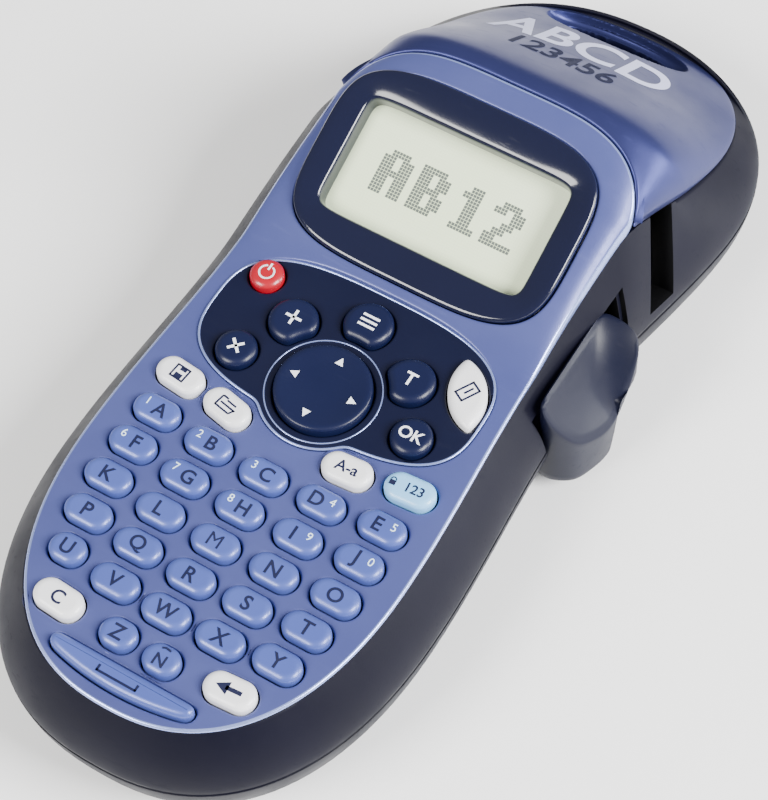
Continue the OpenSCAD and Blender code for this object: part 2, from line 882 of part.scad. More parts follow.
rear_shell();
front_shell();
face_plate();
control_panel();
display_bezel();
lcd_panel();
circuit_board();
keypad_mat();
cassette_cover();
cutter_lever();
cutter_blade();
print_head();
platen_roller();
drive_motor();
label_cassette();
battery_door();
batteries();
screws();
for (k = LETTERS) key(k[0], letter_place(k[1], k[2]));
for (name = OTHER_KEYS) key(name, other_place(name));
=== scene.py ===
"""Looks of a handheld label maker that lies on its back.

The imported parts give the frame; this file lays detailed shells, keys and finishes over them.
Sizes inside the classes are millimetres and every mesh is written in metres.
"""

import logging
import math
from dataclasses import dataclass, field
from enum import Enum
from typing import Callable, Optional, Sequence, Union

import bmesh
import bpy
import numpy as np
from mathutils import Matrix, Vector
from mathutils.geometry import delaunay_2d_cdt


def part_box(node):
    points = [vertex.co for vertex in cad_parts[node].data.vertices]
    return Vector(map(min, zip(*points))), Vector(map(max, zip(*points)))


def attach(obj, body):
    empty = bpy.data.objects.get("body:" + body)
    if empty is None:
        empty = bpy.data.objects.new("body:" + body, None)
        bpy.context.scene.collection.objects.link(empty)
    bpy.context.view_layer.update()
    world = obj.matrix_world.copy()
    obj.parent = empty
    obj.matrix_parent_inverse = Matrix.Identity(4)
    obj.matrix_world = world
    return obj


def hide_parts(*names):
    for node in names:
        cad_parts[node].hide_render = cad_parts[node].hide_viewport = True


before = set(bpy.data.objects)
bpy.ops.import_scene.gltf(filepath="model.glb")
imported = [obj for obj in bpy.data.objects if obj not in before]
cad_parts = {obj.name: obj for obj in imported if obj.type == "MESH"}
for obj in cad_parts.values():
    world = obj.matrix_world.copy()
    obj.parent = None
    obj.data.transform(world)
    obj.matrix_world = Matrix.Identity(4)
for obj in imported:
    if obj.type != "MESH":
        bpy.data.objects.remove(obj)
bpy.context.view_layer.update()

MM = 0.001
WELD = 2e-6
log = logging.getLogger("label_maker")


class Slot(Enum):
    """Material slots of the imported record."""

    DARK_SHELL = "dark_shell"
    FACE_BLUE = "face_blue"
    COVER_BLUE = "cover_blue"
    KEY_BLUE = "key_blue"
    KEY_WHITE = "key_white"
    KEY_NAVY = "key_navy"
    KEY_RED = "key_red"
    KEY_PALE_BLUE = "key_pale_blue"
    PANEL_NAVY = "panel_navy"
    BEZEL_GLOSS = "bezel_gloss"
    LCD = "lcd"
    LEVER_NAVY = "lever_navy"


class KeyShape(Enum):
    """Plans of the keys."""

    LETTER = "letter"
    SHORT = "short"
    SIDE = "side"
    ROUND = "round"
    MENU = "menu"
    POWER = "power"
    ALMOND = "almond"
    BAR = "bar"
    PAD = "pad"


class Corner(Enum):
    """Side of a letter on which its digit stands."""

    LEFT = -1
    RIGHT = 1


# ---------------------------------------------------------------- curves


def ease(t: np.ndarray) -> np.ndarray:
    """Smooth step from 0 to 1, the cubic 3u squared less 2u cubed of the clipped value."""
    u = np.clip(t, 0.0, 1.0)
    return u * u * (3.0 - 2.0 * u)


def lerp(a: np.ndarray, b: np.ndarray, t: np.ndarray) -> np.ndarray:
    """Straight blend from a to b."""
    return a + (b - a) * t


def soft_min(a: np.ndarray, b: np.ndarray, width: float) -> np.ndarray:
    """Lower of two curves, rounded where they cross, as the mean less a hyperbola of their gap."""
    return 0.5 * (a + b - np.sqrt((a - b) ** 2 + width**2))


def soft_max(a: np.ndarray, b: np.ndarray, width: float) -> np.ndarray:
    """Higher of two curves, rounded where they cross."""
    return -soft_min(-a, -b, width)


def superellipse(a: float, b: float, power: float, angle: np.ndarray) -> np.ndarray:
    """Points whose coordinates are the cosine and sine, each raised to two over the power.

    Args:
        a: half length along X.
        b: half length along Y.
        power: 2 gives an ellipse, and higher powers square its corners.
        angle: parameter angles in radians.

    Returns:
        An array of points, one row for each angle.
    """
    cosine, sine = np.cos(angle), np.sin(angle)
    x = a * np.sign(cosine) * np.abs(cosine) ** (2 / power)
    y = b * np.sign(sine) * np.abs(sine) ** (2 / power)
    return np.stack([x, y], axis=-1)


def resample(loop: np.ndarray, count: int) -> np.ndarray:
    """Even points round a closed loop, by linear interpolation over its running length."""
    closed = np.vstack([loop, loop[:1]])
    run = np.concatenate([[0.0], np.cumsum(np.linalg.norm(np.diff(closed, axis=0), axis=1))])
    at = np.linspace(0.0, run[-1], count, endpoint=False)
    return np.stack([np.interp(at, run, closed[:, k]) for k in range(2)], axis=-1)


def resample_open(path: np.ndarray, count: int) -> np.ndarray:
    """Even points along an open path, by linear interpolation over its running length."""
    run = np.concatenate([[0.0], np.cumsum(np.linalg.norm(np.diff(path, axis=0), axis=1))])
    at = np.linspace(0.0, run[-1], count)
    return np.stack([np.interp(at, run, path[:, k]) for k in range(2)], axis=-1)


def offset_loop(loop: np.ndarray, distance: float) -> np.ndarray:
    """Counter-clockwise loop moved outwards along the normals of its neighbouring chords."""
    along = np.roll(loop, -1, axis=0) - np.roll(loop, 1, axis=0)
    normal = np.stack([along[:, 1], -along[:, 0]], axis=-1)
    return loop + distance * normal / np.linalg.norm(normal, axis=1, keepdims=True)


def smooth_loop(loop: np.ndarray, passes: int) -> np.ndarray:
    """Loop whose corners are rounded by averaging each point with its neighbours."""
    for _ in range(passes):
        loop = 0.5 * loop + 0.25 * (np.roll(loop, 1, axis=0) + np.roll(loop, -1, axis=0))
    return loop


def inside_loop(points: np.ndarray, loop: np.ndarray) -> np.ndarray:
    """Even-odd test of points against a closed loop."""
    x, y = points[:, 0][:, None], points[:, 1][:, None]
    nxt = np.roll(loop, -1, axis=0)
    spans = (loop[:, 1] > y) != (nxt[:, 1] > y)
    rise = np.where(nxt[:, 1] == loop[:, 1], 1e-12, nxt[:, 1] - loop[:, 1])
    crossing = loop[:, 0] + (y - loop[:, 1]) / rise * (nxt[:, 0] - loop[:, 0])
    return np.sum(spans & (x < crossing), axis=1) % 2 == 1


def star_outline(inside: Callable, centre: Sequence[float], reach: float, count: int) -> np.ndarray:
    """Outline of a region seen whole from its centre, by halving along rays.

    Args:
        inside: test that takes x and y arrays.
        centre: point from which the whole outline is seen.
        reach: length that is surely outside the region.
        count: number of even points to return.

    Returns:
        Counter-clockwise points of the outline.
    """
    angle = np.linspace(0.0, 2 * np.pi, 8 * count, endpoint=False)
    cosine, sine = np.cos(angle), np.sin(angle)
    low, high = np.zeros_like(angle), np.full_like(angle, reach)
    for _ in range(36):
        middle = 0.5 * (low + high)
        is_in = inside(centre[0] + middle * cosine, centre[1] + middle * sine)
        low, high = np.where(is_in, middle, low), np.where(is_in, high, middle)
    ring = np.stack([centre[0] + low * cosine, centre[1] + low * sine], axis=-1)
    return resample(ring, count)


def at_height(loop: np.ndarray, height: Union[float, np.ndarray]) -> np.ndarray:
    """Plan points lifted to a height."""
    return np.concatenate([loop, np.broadcast_to(height, len(loop))[:, None]], axis=1)


# ---------------------------------------------------------------- meshes


class Skin:
    """Collects grids and flats into one mesh, in millimetres."""

    def __init__(self) -> None:
        """Start with nothing."""
        self.points: list[np.ndarray] = []
        self.faces: list[tuple[int, ...]] = []
        self.slots: list[int] = []
        self.shades: list[np.ndarray] = []
        self.count = 0

    def add(self, points: np.ndarray, faces: Sequence, slot: int = 0, shade: float = 0.0) -> None:
        """Add points and the faces among them.

        Args:
            points: rows of x, y and z.
            faces: corner numbers within those points.
            slot: number of the finish that the faces wear.
            shade: value of the shade attribute, which marks painted shade, one for all points or one
                for each.
        """
        self.points.append(np.asarray(points, float).reshape(-1, 3))
        self.faces.extend(tuple(int(i) + self.count for i in face) for face in faces)
        self.slots.extend([slot] * len(faces))
        self.shades.append(np.broadcast_to(shade, len(self.points[-1])).astype(float))
        self.count += len(self.points[-1])

    def grid(
        self,
        points: np.ndarray,
        slot: int = 0,
        closed: bool = True,
        keep: Optional[np.ndarray] = None,
        shade: Union[float, np.ndarray] = 0.0,
    ) -> None:
        """Add a grid of quads from rows of points.

        Args:
            points: array of rows, columns and the three coordinates.
            slot: number of the finish.
            closed: whether the last column joins the first.
            keep: which quads are made, by row and column.
            shade: shade attribute, which marks painted shade, one value or one for each point.
        """
        rows, columns = points.shape[:2]
        index = np.arange(rows * columns).reshape(rows, columns)
        if closed:
            index = np.concatenate([index, index[:, :1]], axis=1)
        quads = np.stack([index[:-1, :-1], index[:-1, 1:], index[1:, 1:], index[1:, :-1]], axis=-1)
        quads = quads[keep] if keep is not None else quads.reshape(-1, 4)
        self.add(points, quads.tolist(), slot, np.ravel(shade) if np.ndim(shade) else shade)

    def cap(self, ring: np.ndarray, slot: int = 0) -> None:
        """Close a ring with one flat face."""
        self.add(ring, [tuple(range(len(ring)))], slot)

    def fill(
        self,
        outer: np.ndarray,
        holes: Sequence[np.ndarray],
        height: Callable,
        spacing: float,
        slot: int = 0,
        extra: Sequence[np.ndarray] = (),
    ) -> None:
        """Cover the area inside a loop and outside its holes with triangles.

        Args:
            outer: counter-clockwise outer loop.
            holes: loops that are left open.
            height: gives z from x and y arrays.
            spacing: distance between the inner points.
            slot: number of the finish.
            extra: further inner points where the surface bends.
        """
        low, high = outer.min(axis=0), outer.max(axis=0)
        x, y = np.meshgrid(np.arange(low[0], high[0], spacing), np.arange(low[1], high[1], spacing))
        inner = np.concatenate([np.stack([x.ravel(), y.ravel()], axis=-1), *extra])
        good = inside_loop(inner, offset_loop(outer, -0.2 * spacing))
        for hole in holes:
            good &= ~inside_loop(inner, offset_loop(hole, 0.2 * spacing))
        loops = [outer, *holes]
        edges, start = [], 0
        for loop in loops:
            number = np.arange(len(loop))
            edges.extend(zip((number + start).tolist(), (np.roll(number, -1) + start).tolist()))
            start += len(loop)
        coords = np.concatenate([*loops, inner[good]])
        found = delaunay_2d_cdt([Vector(p) for p in coords], edges, [], 0, 1e-6)
        flat, faces = np.array([tuple(v) for v in found[0]]), np.array(found[2])
        middle = flat[faces].mean(axis=1)
        keep = inside_loop(middle, outer)
        for hole in holes:
            keep &= ~inside_loop(middle, hole)
        points = np.concatenate([flat, height(flat[:, 0], flat[:, 1])[:, None]], axis=1)
        self.add(points, faces[keep].tolist(), slot)

    def build(
        self,
        name: str,
        finishes: Sequence["Finish"],
        body: str,
        slot: Slot,
        sharp: float = 40.0,
        wall: float = 0.0,
        outward: bool = True,
    ) -> bpy.types.Object:
        """Write the mesh, weld it and let it ride on its body.

        Args:
            name: name of the piece.
            finishes: one finish for each slot number that was used.
            body: body of the frame that the piece moves with.
            slot: material slot of the record; not used.
            sharp: angle in degrees past which an edge stays sharp.
            wall: thickness that is given to an open sheet, inwards.
            outward: whether the normals are worked out again.

        Returns:
            The new object.
        """
        mesh = bpy.data.meshes.new(name)
        mesh.from_pydata((np.concatenate(self.points) * MM).tolist(), [], self.faces)
        # The shade attribute marks where a finish paints shade in; the cover's slot goes black by it.
        mesh.attributes.new("shade", "FLOAT", "POINT").data.foreach_set(
            "value", np.concatenate(self.shades).astype(np.float32)
        )
        for finish in finishes:
            mesh.materials.append(finish.material())
        mesh.polygons.foreach_set("material_index", np.array(self.slots, np.int32))
        work = bmesh.new()
        work.from_mesh(mesh)
        bmesh.ops.remove_doubles(work, verts=work.verts, dist=WELD)
        bmesh.ops.dissolve_degenerate(work, edges=work.edges, dist=WELD / 2)
        if outward:
            bmesh.ops.recalc_face_normals(work, faces=work.faces)
        work.to_mesh(mesh)
        work.free()
        mesh.shade_smooth()
        mesh.set_sharp_from_angle(angle=math.radians(sharp))
        piece = bpy.data.objects.new(name, mesh)
        bpy.context.scene.collection.objects.link(piece)
        if wall:
            solid = piece.modifiers.new("wall", "SOLIDIFY")
            solid.thickness = wall * MM
            solid.offset = -1.0
        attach(piece, body)
        log.info("%s: %d points on %s", name, len(mesh.vertices), body)
        return piece


# ---------------------------------------------------------------- shader maths


class Value:
    """A number socket; arithmetic on it adds Math nodes."""

    def __init__(self, shader: "Shader", socket: bpy.types.NodeSocket) -> None:
        """Wrap a socket of a shader."""
        self.shader = shader
        self.socket = socket

    def _math(self, operation: str, first: object, second: object, clamp: bool = False) -> "Value":
        """Add one Math node with two inputs."""
        node = self.shader.node(
            "ShaderNodeMath", {"operation": operation, "use_clamp": clamp}, {0: first, 1: second}
        )
        return Value(self.shader, node.outputs[0])

    def __add__(self, other: object) -> "Value":
        """Sum."""
        return self._math("ADD", self, other)

    __radd__ = __add__

    def __sub__(self, other: object) -> "Value":
        """Difference."""
        return self._math("SUBTRACT", self, other)

    def __mul__(self, other: object) -> "Value":
        """Product."""
        return self._math("MULTIPLY", self, other)

    def above(self, level: float) -> "Value":
        """1 where the value is above the level, and 0 elsewhere."""
        return self._math("GREATER_THAN", self, level)

    def clamped(self) -> "Value":
        """Value held between 0 and 1."""
        return self._math("MULTIPLY", self, 1.0, clamp=True)


class Shader:
    """A material's node tree, written one node at a time."""

    def __init__(self, name: str) -> None:
        """Start an empty tree."""
        self.material = bpy.data.materials.new(name)
        self.material.use_nodes = True
        self.tree = self.material.node_tree
        self.tree.nodes.clear()

    def node(
        self, kind: str, settings: Optional[dict] = None, inputs: Optional[dict] = None
    ) -> bpy.types.Node:
        """Add a node, set its settings first and then its sockets.

        Args:
            kind: type name of the node.
            settings: attributes of the node.
            inputs: values, sockets or Values by socket name or number.

        Returns:
            The new node.
        """
        node = self.tree.nodes.new(kind)
        for name, value in (settings or {}).items():
            setattr(node, name, value)
        for name, value in (inputs or {}).items():
            source = value.socket if isinstance(value, Value) else value
            if isinstance(source, bpy.types.NodeSocket):
                self.tree.links.new(source, node.inputs[name])
            else:
                node.inputs[name].default_value = source
        return node

    def place(self, stretch: Sequence[float] = (1, 1, 1)) -> bpy.types.NodeSocket:
        """Object coordinates, stretched by a factor on each axis."""
        source = self.node("ShaderNodeTexCoord").outputs["Object"]
        mapping = self.node("ShaderNodeMapping", None, {"Vector": source, "Scale": stretch})
        return mapping.outputs[0]

    def noise(
        self, size_mm: float, detail: float = 3.0, stretch: Sequence[float] = (1, 1, 1)
    ) -> Value:
        """Noise whose features have about the given size."""
        node = self.node(
            "ShaderNodeTexNoise",
            None,
            {"Vector": self.place(stretch), "Scale": 1 / (size_mm * MM), "Detail": detail},
        )
        return Value(self, node.outputs[0])

    def mix(self, factor: object, first: object, second: object) -> bpy.types.NodeSocket:
        """Blend of two colours."""
        node = self.node(
            "ShaderNodeMix", {"data_type": "RGBA"}, {0: factor, 6: first, 7: second}
        )
        return node.outputs[2]

    def bump(self, height: object, depth_mm: float) -> bpy.types.NodeSocket:
        """Normal of a surface with the given height and depth."""
        node = self.node(
            "ShaderNodeBump", None, {"Height": height, "Distance": depth_mm * MM, "Strength": 1.0}
        )
        return node.outputs[0]

    def finish(self, inputs: dict) -> bpy.types.Material:
        """Close the tree with a Principled shader."""
        shader = self.node("ShaderNodeBsdfPrincipled", None, inputs)
        self.node("ShaderNodeOutputMaterial", None, {0: shader.outputs[0]})
        return self.material


Colour = tuple[float, float, float]
HAIR_MM = 1.2
HAIR_STRETCH = (0.12, 1.0, 1.0)
HAIR_LEVEL = 0.66
SMEAR_MM = 9.0
SMEAR_SHARE = 0.6
COAT_ROUGHNESS = 0.08


def rgba(colour: Colour) -> tuple[float, float, float, float]:
    """Opaque colour."""
    return (*colour, 1.0)


@dataclass(frozen=True)
class Finish:
    """Moulded plastic with a fine grain, cloudy tone, rubbed patches and hair scratches."""

    name: str
    colour: Colour
    shade: Colour
    roughness: float = 0.35
    metallic: float = 0.0
    coat: float = 0.0
    grain_mm: float = 0.35
    grain_depth: float = 0.012
    cloud_mm: float = 22.0
    wear: float = 0.06
    specular: float = 0.5

    def colour_socket(self, shader: Shader) -> bpy.types.NodeSocket:
        """Colour with slow clouds of the shade tone and a little of the fine grain."""
        cloud = shader.noise(self.cloud_mm, 2.0)
        grain = shader.noise(self.grain_mm * 1.7, 2.0)
        factor = ((cloud - 0.35) * 0.8 + (grain - 0.5) * 0.25).clamped()
        return shader.mix(factor, rgba(self.colour), rgba(self.shade))

    def height(self, shader: Shader) -> Value:
        """Relief of the surface."""
        return shader.noise(self.grain_mm, 3.0)

    def material(self) -> bpy.types.Material:
        """Make the material once and return it."""
        known = bpy.data.materials.get(self.name)
        if known:
            return known
        shader = Shader(self.name)
        hair = shader.noise(HAIR_MM, 2.0, HAIR_STRETCH).above(HAIR_LEVEL)
        smear = (shader.noise(SMEAR_MM, 3.0) - 0.5) * (SMEAR_SHARE * self.roughness)
        roughness = self.roughness + smear + hair * self.wear
        return shader.finish(
            {
                "Base Color": self.colour_socket(shader),
                "Roughness": roughness,
                "Metallic": self.metallic,
                "Coat Weight": self.coat,
                "Coat Roughness": COAT_ROUGHNESS,
                "Specular IOR Level": self.specular,
                "Normal": shader.bump(self.height(shader), self.grain_depth),
            }
        )


@dataclass(frozen=True)
class PearlFinish(Finish):
    """Pearl paint: fine flakes over the colour, darker where the surface turns away."""

    flake: float = 0.35
    flake_mm: float = 0.16
    edge: Colour = (0.10, 0.13, 0.34)
    edge_share: float = 0.45

    def colour_socket(self, shader: Shader) -> bpy.types.NodeSocket:
        """Base tone with flakes, turned towards the edge tone at grazing angles."""
        flakes = (shader.noise(self.flake_mm, 1.0) - 0.45).clamped() * self.flake
        cloud = (shader.noise(self.cloud_mm, 1.0) - 0.3) * 0.6
        tone = shader.mix((cloud + flakes).clamped(), rgba(self.colour), rgba(self.shade))
        turn = Value(shader, shader.node("ShaderNodeLayerWeight", None, {0: 0.35}).outputs[1])
        return shader.mix((turn * self.edge_share).clamped(), tone, rgba(self.edge))


@dataclass(frozen=True)
class PaintedShadeFinish(PearlFinish):
    """Pearl paint that goes to black where the mesh's shade attribute says so, painted shade for the
    hole of the cover's slot.
    """

    painted_hole_shade: Colour = (0.004, 0.004, 0.008)

    def colour_socket(self, shader: Shader) -> bpy.types.NodeSocket:
        """Pearl tone outside the slot, and black inside it as painted shade."""
        tone = super().colour_socket(shader)
        shade = shader.node("ShaderNodeAttribute", {"attribute_name": "shade"}).outputs["Fac"]
        return shader.mix(Value(shader, shade).clamped(), tone, rgba(self.painted_hole_shade))


@dataclass(frozen=True)
class DisplayFinish(Finish):
    """Reflective liquid crystal with its dot lattice and a slow greenish cloud."""

    dot_mm: float = 0.62
    line_mm: float = 0.04

    def colour_socket(self, shader: Shader) -> bpy.types.NodeSocket:
        """Cloudy pale tone, darkened a little along the gaps of the dot lattice."""
        cloud = shader.noise(self.cloud_mm, 1.0)
        tone = shader.mix(((cloud - 0.3) * 1.1).clamped(), rgba(self.colour), rgba(self.shade))
        lattice = shader.node(
            "ShaderNodeTexBrick",
            {"offset": 0.0},
            {
                "Vector": shader.place(),
                "Color1": (1, 1, 1, 1),
                "Color2": (0.985, 0.99, 0.985, 1),
                "Mortar": (0.93, 0.94, 0.92, 1),
                "Scale": 1.0,
                "Mortar Size": self.line_mm * MM,
                "Brick Width": self.dot_mm * MM,
                "Row Height": self.dot_mm * MM,
            },
        )
        node = shader.node(
            "ShaderNodeMix",
            {"data_type": "RGBA", "blend_type": "MULTIPLY"},
            {0: 1.0, 6: tone, 7: lattice.outputs[0]},
        )
        return node.outputs[2]


@dataclass(frozen=True)
class BandFinish(Finish):
    """Printed wrap: bands of a second colour across the length."""

    band_mm: float = 17.0
    waves_per_unit: float = 0.31

    def colour_socket(self, shader: Shader) -> bpy.types.NodeSocket:
        """Wave bands along Y between the two tones."""
        wave = shader.node(
            "ShaderNodeTexWave",
            {"wave_type": "BANDS", "bands_direction": "Y"},
            {"Vector": shader.place(), "Scale": self.waves_per_unit / (self.band_mm * MM)},
        )
        step = Value(shader, wave.outputs[1]).above(0.6)
        grain = shader.noise(1.5, 2.0) * 0.12
        return shader.mix((step * 0.88 + grain).clamped(), rgba(self.colour), rgba(self.shade))


@dataclass(frozen=True)
class BoardFinish(Finish):
    """Lacquered board with copper tracks."""

    track_mm: float = 3.2

    def colour_socket(self, shader: Shader) -> bpy.types.NodeSocket:
        """Dark lacquer with lighter tracks along cell borders."""
        cells = shader.node(
            "ShaderNodeTexVoronoi",
            {"distance": "MANHATTAN", "feature": "F1"},
            {"Vector": shader.place(), "Scale": 1 / (self.track_mm * MM)},
        )
        track = Value(shader, cells.outputs[0]).above(0.62)
        return shader.mix(track * 0.7, rgba(self.colour), rgba(self.shade))


PLATE = PearlFinish("face pearl", (0.062, 0.075, 0.235), (0.100, 0.118, 0.32), 0.38, 0.3, 0.08)
# The cover's finish paints black, as shade, wherever the shade attribute marks the slot.
COVER = PaintedShadeFinish(
    "cover pearl", (0.030, 0.034, 0.115), (0.060, 0.068, 0.20), 0.36, 0.6, 0.0, specular=0.15,
    edge=(0.05, 0.06, 0.18),
)
KEY_BLUE = PearlFinish("key blue", (0.060, 0.090, 0.33), (0.094, 0.135, 0.43), 0.34, 0.15, 0.12)
# Light blue for the plate's outer bevel and the panel's beads: a painted highlight where those edges
# catch the light.
RIM_HIGHLIGHT = PearlFinish("rim highlight paint", (0.30, 0.38, 0.74), (0.46, 0.54, 0.90), 0.24, 0.6, 0.3)
NAVY_SHELL = Finish(
    "navy shell", (0.0032, 0.0032, 0.0095), (0.005, 0.005, 0.015), 0.46, specular=0.13
)
NAVY_PANEL = Finish(
    "navy panel", (0.0038, 0.0052, 0.021), (0.006, 0.008, 0.029), 0.36, specular=0.28
)
NAVY_KEY = Finish(
    "navy key", (0.0045, 0.007, 0.031), (0.007, 0.0105, 0.045), 0.32, specular=0.33
)
BEZEL = Finish(
    "bezel gloss", (0.004, 0.0055, 0.022), (0.006, 0.008, 0.030), 0.11, 0.0, 0.35, 0.5, 0.002,
    specular=0.4,
)
LEVER = Finish("lever navy", (0.0035, 0.0045, 0.016), (0.0055, 0.007, 0.023), 0.42, specular=0.25)
WHITE_KEY = Finish("white key", (0.80, 0.80, 0.82), (0.68, 0.69, 0.74), 0.32, 0.0, 0.2)
RED_KEY = Finish("red key", (0.38, 0.004, 0.016), (0.28, 0.003, 0.011), 0.32, 0.0, 0.25)
PALE_KEY = Finish("pale blue key", (0.22, 0.52, 0.84), (0.15, 0.42, 0.76), 0.34, 0.0, 0.2)
DARK_INK = Finish("dark ink", (0.005, 0.007, 0.035), (0.008, 0.011, 0.05), 0.45)
PALE_INK = Finish("pale ink", (0.72, 0.88, 1.0), (0.66, 0.82, 1.0), 0.45)
LAVENDER_INK = Finish("lavender ink", (0.55, 0.57, 0.82), (0.47, 0.49, 0.75), 0.4)
WHITE_INK = Finish("white ink", (0.86, 0.88, 0.93), (0.76, 0.79, 0.86), 0.45)
GRAPHITE_INK = Finish(
    "graphite ink", (0.008, 0.010, 0.035), (0.012, 0.015, 0.045), 0.6, specular=0.08
)
# Near black, darker than the shell: painted shade on the walls inside the openings round the lever
# and the label outlet. It also colours the grip bars under the door.
BLACK = Finish("outlet black", (0.0015, 0.0015, 0.002), (0.002, 0.002, 0.003), 0.7, specular=0.1)
LCD = DisplayFinish("display", (0.78, 0.90, 0.60), (0.85, 0.94, 0.72), 0.35, cloud_mm=30.0)
DOTS = Finish("display dots", (0.10, 0.12, 0.105), (0.14, 0.16, 0.14), 0.4)
RUBBER = Finish("rubber", (0.02, 0.02, 0.022), (0.035, 0.035, 0.036), 0.75, grain_depth=0.03)
STEEL = Finish("steel", (0.52, 0.53, 0.55), (0.40, 0.41, 0.43), 0.3, 1.0, grain_mm=0.2)
CERAMIC = Finish("ceramic", (0.62, 0.55, 0.42), (0.72, 0.66, 0.54), 0.45)
CASSETTE = Finish("cassette plastic", (0.55, 0.56, 0.58), (0.42, 0.43, 0.46), 0.42)
WRAP = BandFinish("cell wrap", (0.015, 0.015, 0.017), (0.62, 0.30, 0.07), 0.28, 0.3, 0.3)
BOARD = BoardFinish("board lacquer", (0.006, 0.05, 0.018), (0.02, 0.13, 0.045), 0.3)
PAPER = Finish("floor paper", (0.97, 0.97, 0.97), (0.95, 0.95, 0.955), 0.7, cloud_mm=300)


# ---------------------------------------------------------------- body


@dataclass(frozen=True)
class Form:
    """Sizes of the body and the curves that follow from them."""

    tail_len: float = 104.0
    nose_len: float = 104.0
    handle_w: float = 87.0
    waist_w: float = 83.0
    head_w: float = 90.4
    lean: float = 7.5
    lean_from: float = 10.0
    lean_length: float = 85.0
    face_z: float = 32.0
    seam_h: float = 18.0
    flare: float = 6.8
    tuck: float = 8.0
    tail_c: float = -45.0
    head_c: float = 58.0
    waist_y: float = 4.0
    tail_power: float = 2.35
    head_power: float = 2.2
    ramp_y: float = 4.5
    tilt: float = math.radians(22.0)
    crest_round: float = 2.6
    fold_round: float = 2.0
    fall_y: float = 60.0
    fall_z: float = 50.4
    fall_slope: float = 0.765
    rim_w: float = 72.0
    rim_shy: float = 1.5
    rim_run: float = 21.0
    rim_h: float = 36.2
    rim_slope: float = 0.38
    rim_y: float = 54.0
    rim_front: float = 37.0
    rim_power: float = 2.6
    rim_tip: float = 102.5
    seam_x: float = 2.2
    seam_y: float = 20.0
    seam_a: float = 36.0
    seam_b: float = 33.5
    seam_power: float = 4.0
    seam_end: float = 0.02
    shoulder_rise: float = 9.6
    shoulder_past: float = 3.0
    shoulder_power: float = 1.25
    shoulder_round: float = 0.5
    crest_from: float = 42.0
    crest_length: float = 14.0
    dome_from: float = 54.0
    dome_length: float = 32.0
    square_face: float = 6.0
    square_crest: float = 4.0
    square_drop: float = 2.1
    fall_face: float = 2.2
    fall_crest: float = 1.8
    fall_drop: float = 0.55
    part_gap: float = 0.32
    part_lip: float = 1.4
    part_soft: float = 0.35
    lever_start: float = -2.0
    lever_end: float = 28.8
    end_points: int = 60
    side_points: int = 44

    def mid_x(self, y: np.ndarray) -> np.ndarray:
        """Middle line, which leans over in the head by a smooth step."""
        return self.lean * ease((y - self.lean_from) / self.lean_length)

    def half_width(self, y: np.ndarray) -> np.ndarray:
        """Half width between the two ends, two smooth steps that meet at the waist."""
        to_waist = ease((y - self.tail_c) / (self.waist_y - self.tail_c))
        to_head = ease((y - self.waist_y) / (self.head_c - self.waist_y))
        low = lerp(self.handle_w, self.waist_w, to_waist)
        high = lerp(self.waist_w, self.head_w, to_head)
        return np.where(y < self.waist_y, low, high) / 2

    def rim_half(self, y: np.ndarray) -> np.ndarray:
        """Half width of the cover's rim, closing as a superellipse towards the nose."""
        wide = self.rim_w / 2
        side = lerp(wide - self.rim_shy, wide, np.clip((y - self.rim_front) / self.rim_run, 0, 1))
        u = np.clip((y - self.head_c) / (self.rim_tip - self.head_c), 0.0, 1.0)
        return side * (1.0 - u**self.rim_power) ** (1 / self.rim_power)

    def face_half(self, y: np.ndarray) -> np.ndarray:
        """Half width of the face: the body less its flare, then a blend to the cover's rim."""
        body = self.half_width(np.minimum(y, self.ramp_y)) - self.flare
        t = np.clip((y - self.ramp_y) / (self.rim_front - self.ramp_y), 0.0, 1.0)
        return lerp(body, self.rim_half(y), t)

    def rim_z(self, y: np.ndarray) -> np.ndarray:
        """Height of the cover's rim, a straight fall towards the nose."""
        return self.rim_h - (y - self.rim_y) * self.rim_slope

    def ramp_z(self, y: np.ndarray) -> np.ndarray:
        """Keypad face and display slope, joined by a rounded fold."""
        slope = self.face_z + (y - self.ramp_y) * math.tan(self.tilt)
        return soft_max(np.full_like(slope, self.face_z), slope, self.fold_round)

    def crown_z(self, y: np.ndarray) -> np.ndarray:
        """Highest line of the head, the ramp and the fall over the cover with a round crest."""
        fall = self.fall_z - self.fall_slope * (y - self.fall_y)
        crown = soft_min(self.ramp_z(y), fall, self.crest_round)
        return np.where(y > self.rim_front, np.maximum(crown, self.rim_z(y)), crown)

    def edge_z(self, y: np.ndarray) -> np.ndarray:
        """Height of the top edge of the side wall: face, shoulder and then the rim."""
        length = self.rim_front + self.shoulder_past - self.ramp_y
        run = np.clip((y - self.ramp_y) / length, 0.0, 2.0)
        shoulder = self.face_z + self.shoulder_rise * run**self.shoulder_power
        return soft_min(shoulder, self.rim_z(y), self.shoulder_round)

    def skin_z(self, x: np.ndarray, y: np.ndarray) -> np.ndarray:
        """Top surface: each slice is an arch from edge to crown, one less a power of the reach.

        The arch is square over the display, and rounder towards the nose.
        """
        crest = ease((y - self.crest_from) / self.crest_length)
        dome = ease((y - self.dome_from) / self.dome_length)
        square = lerp(self.square_face, self.square_crest, crest) - self.square_drop * dome
        fall = lerp(self.fall_face, self.fall_crest, crest) - self.fall_drop * dome
        half = np.maximum(self.face_half(y), 1e-6)
        t = np.clip(np.abs(x - self.mid_x(y)) / half, 0.0, 1.0)
        edge = self.edge_z(y)
        return edge + (self.crown_z(y) - edge) * (1.0 - t**square) ** (1 / fall)

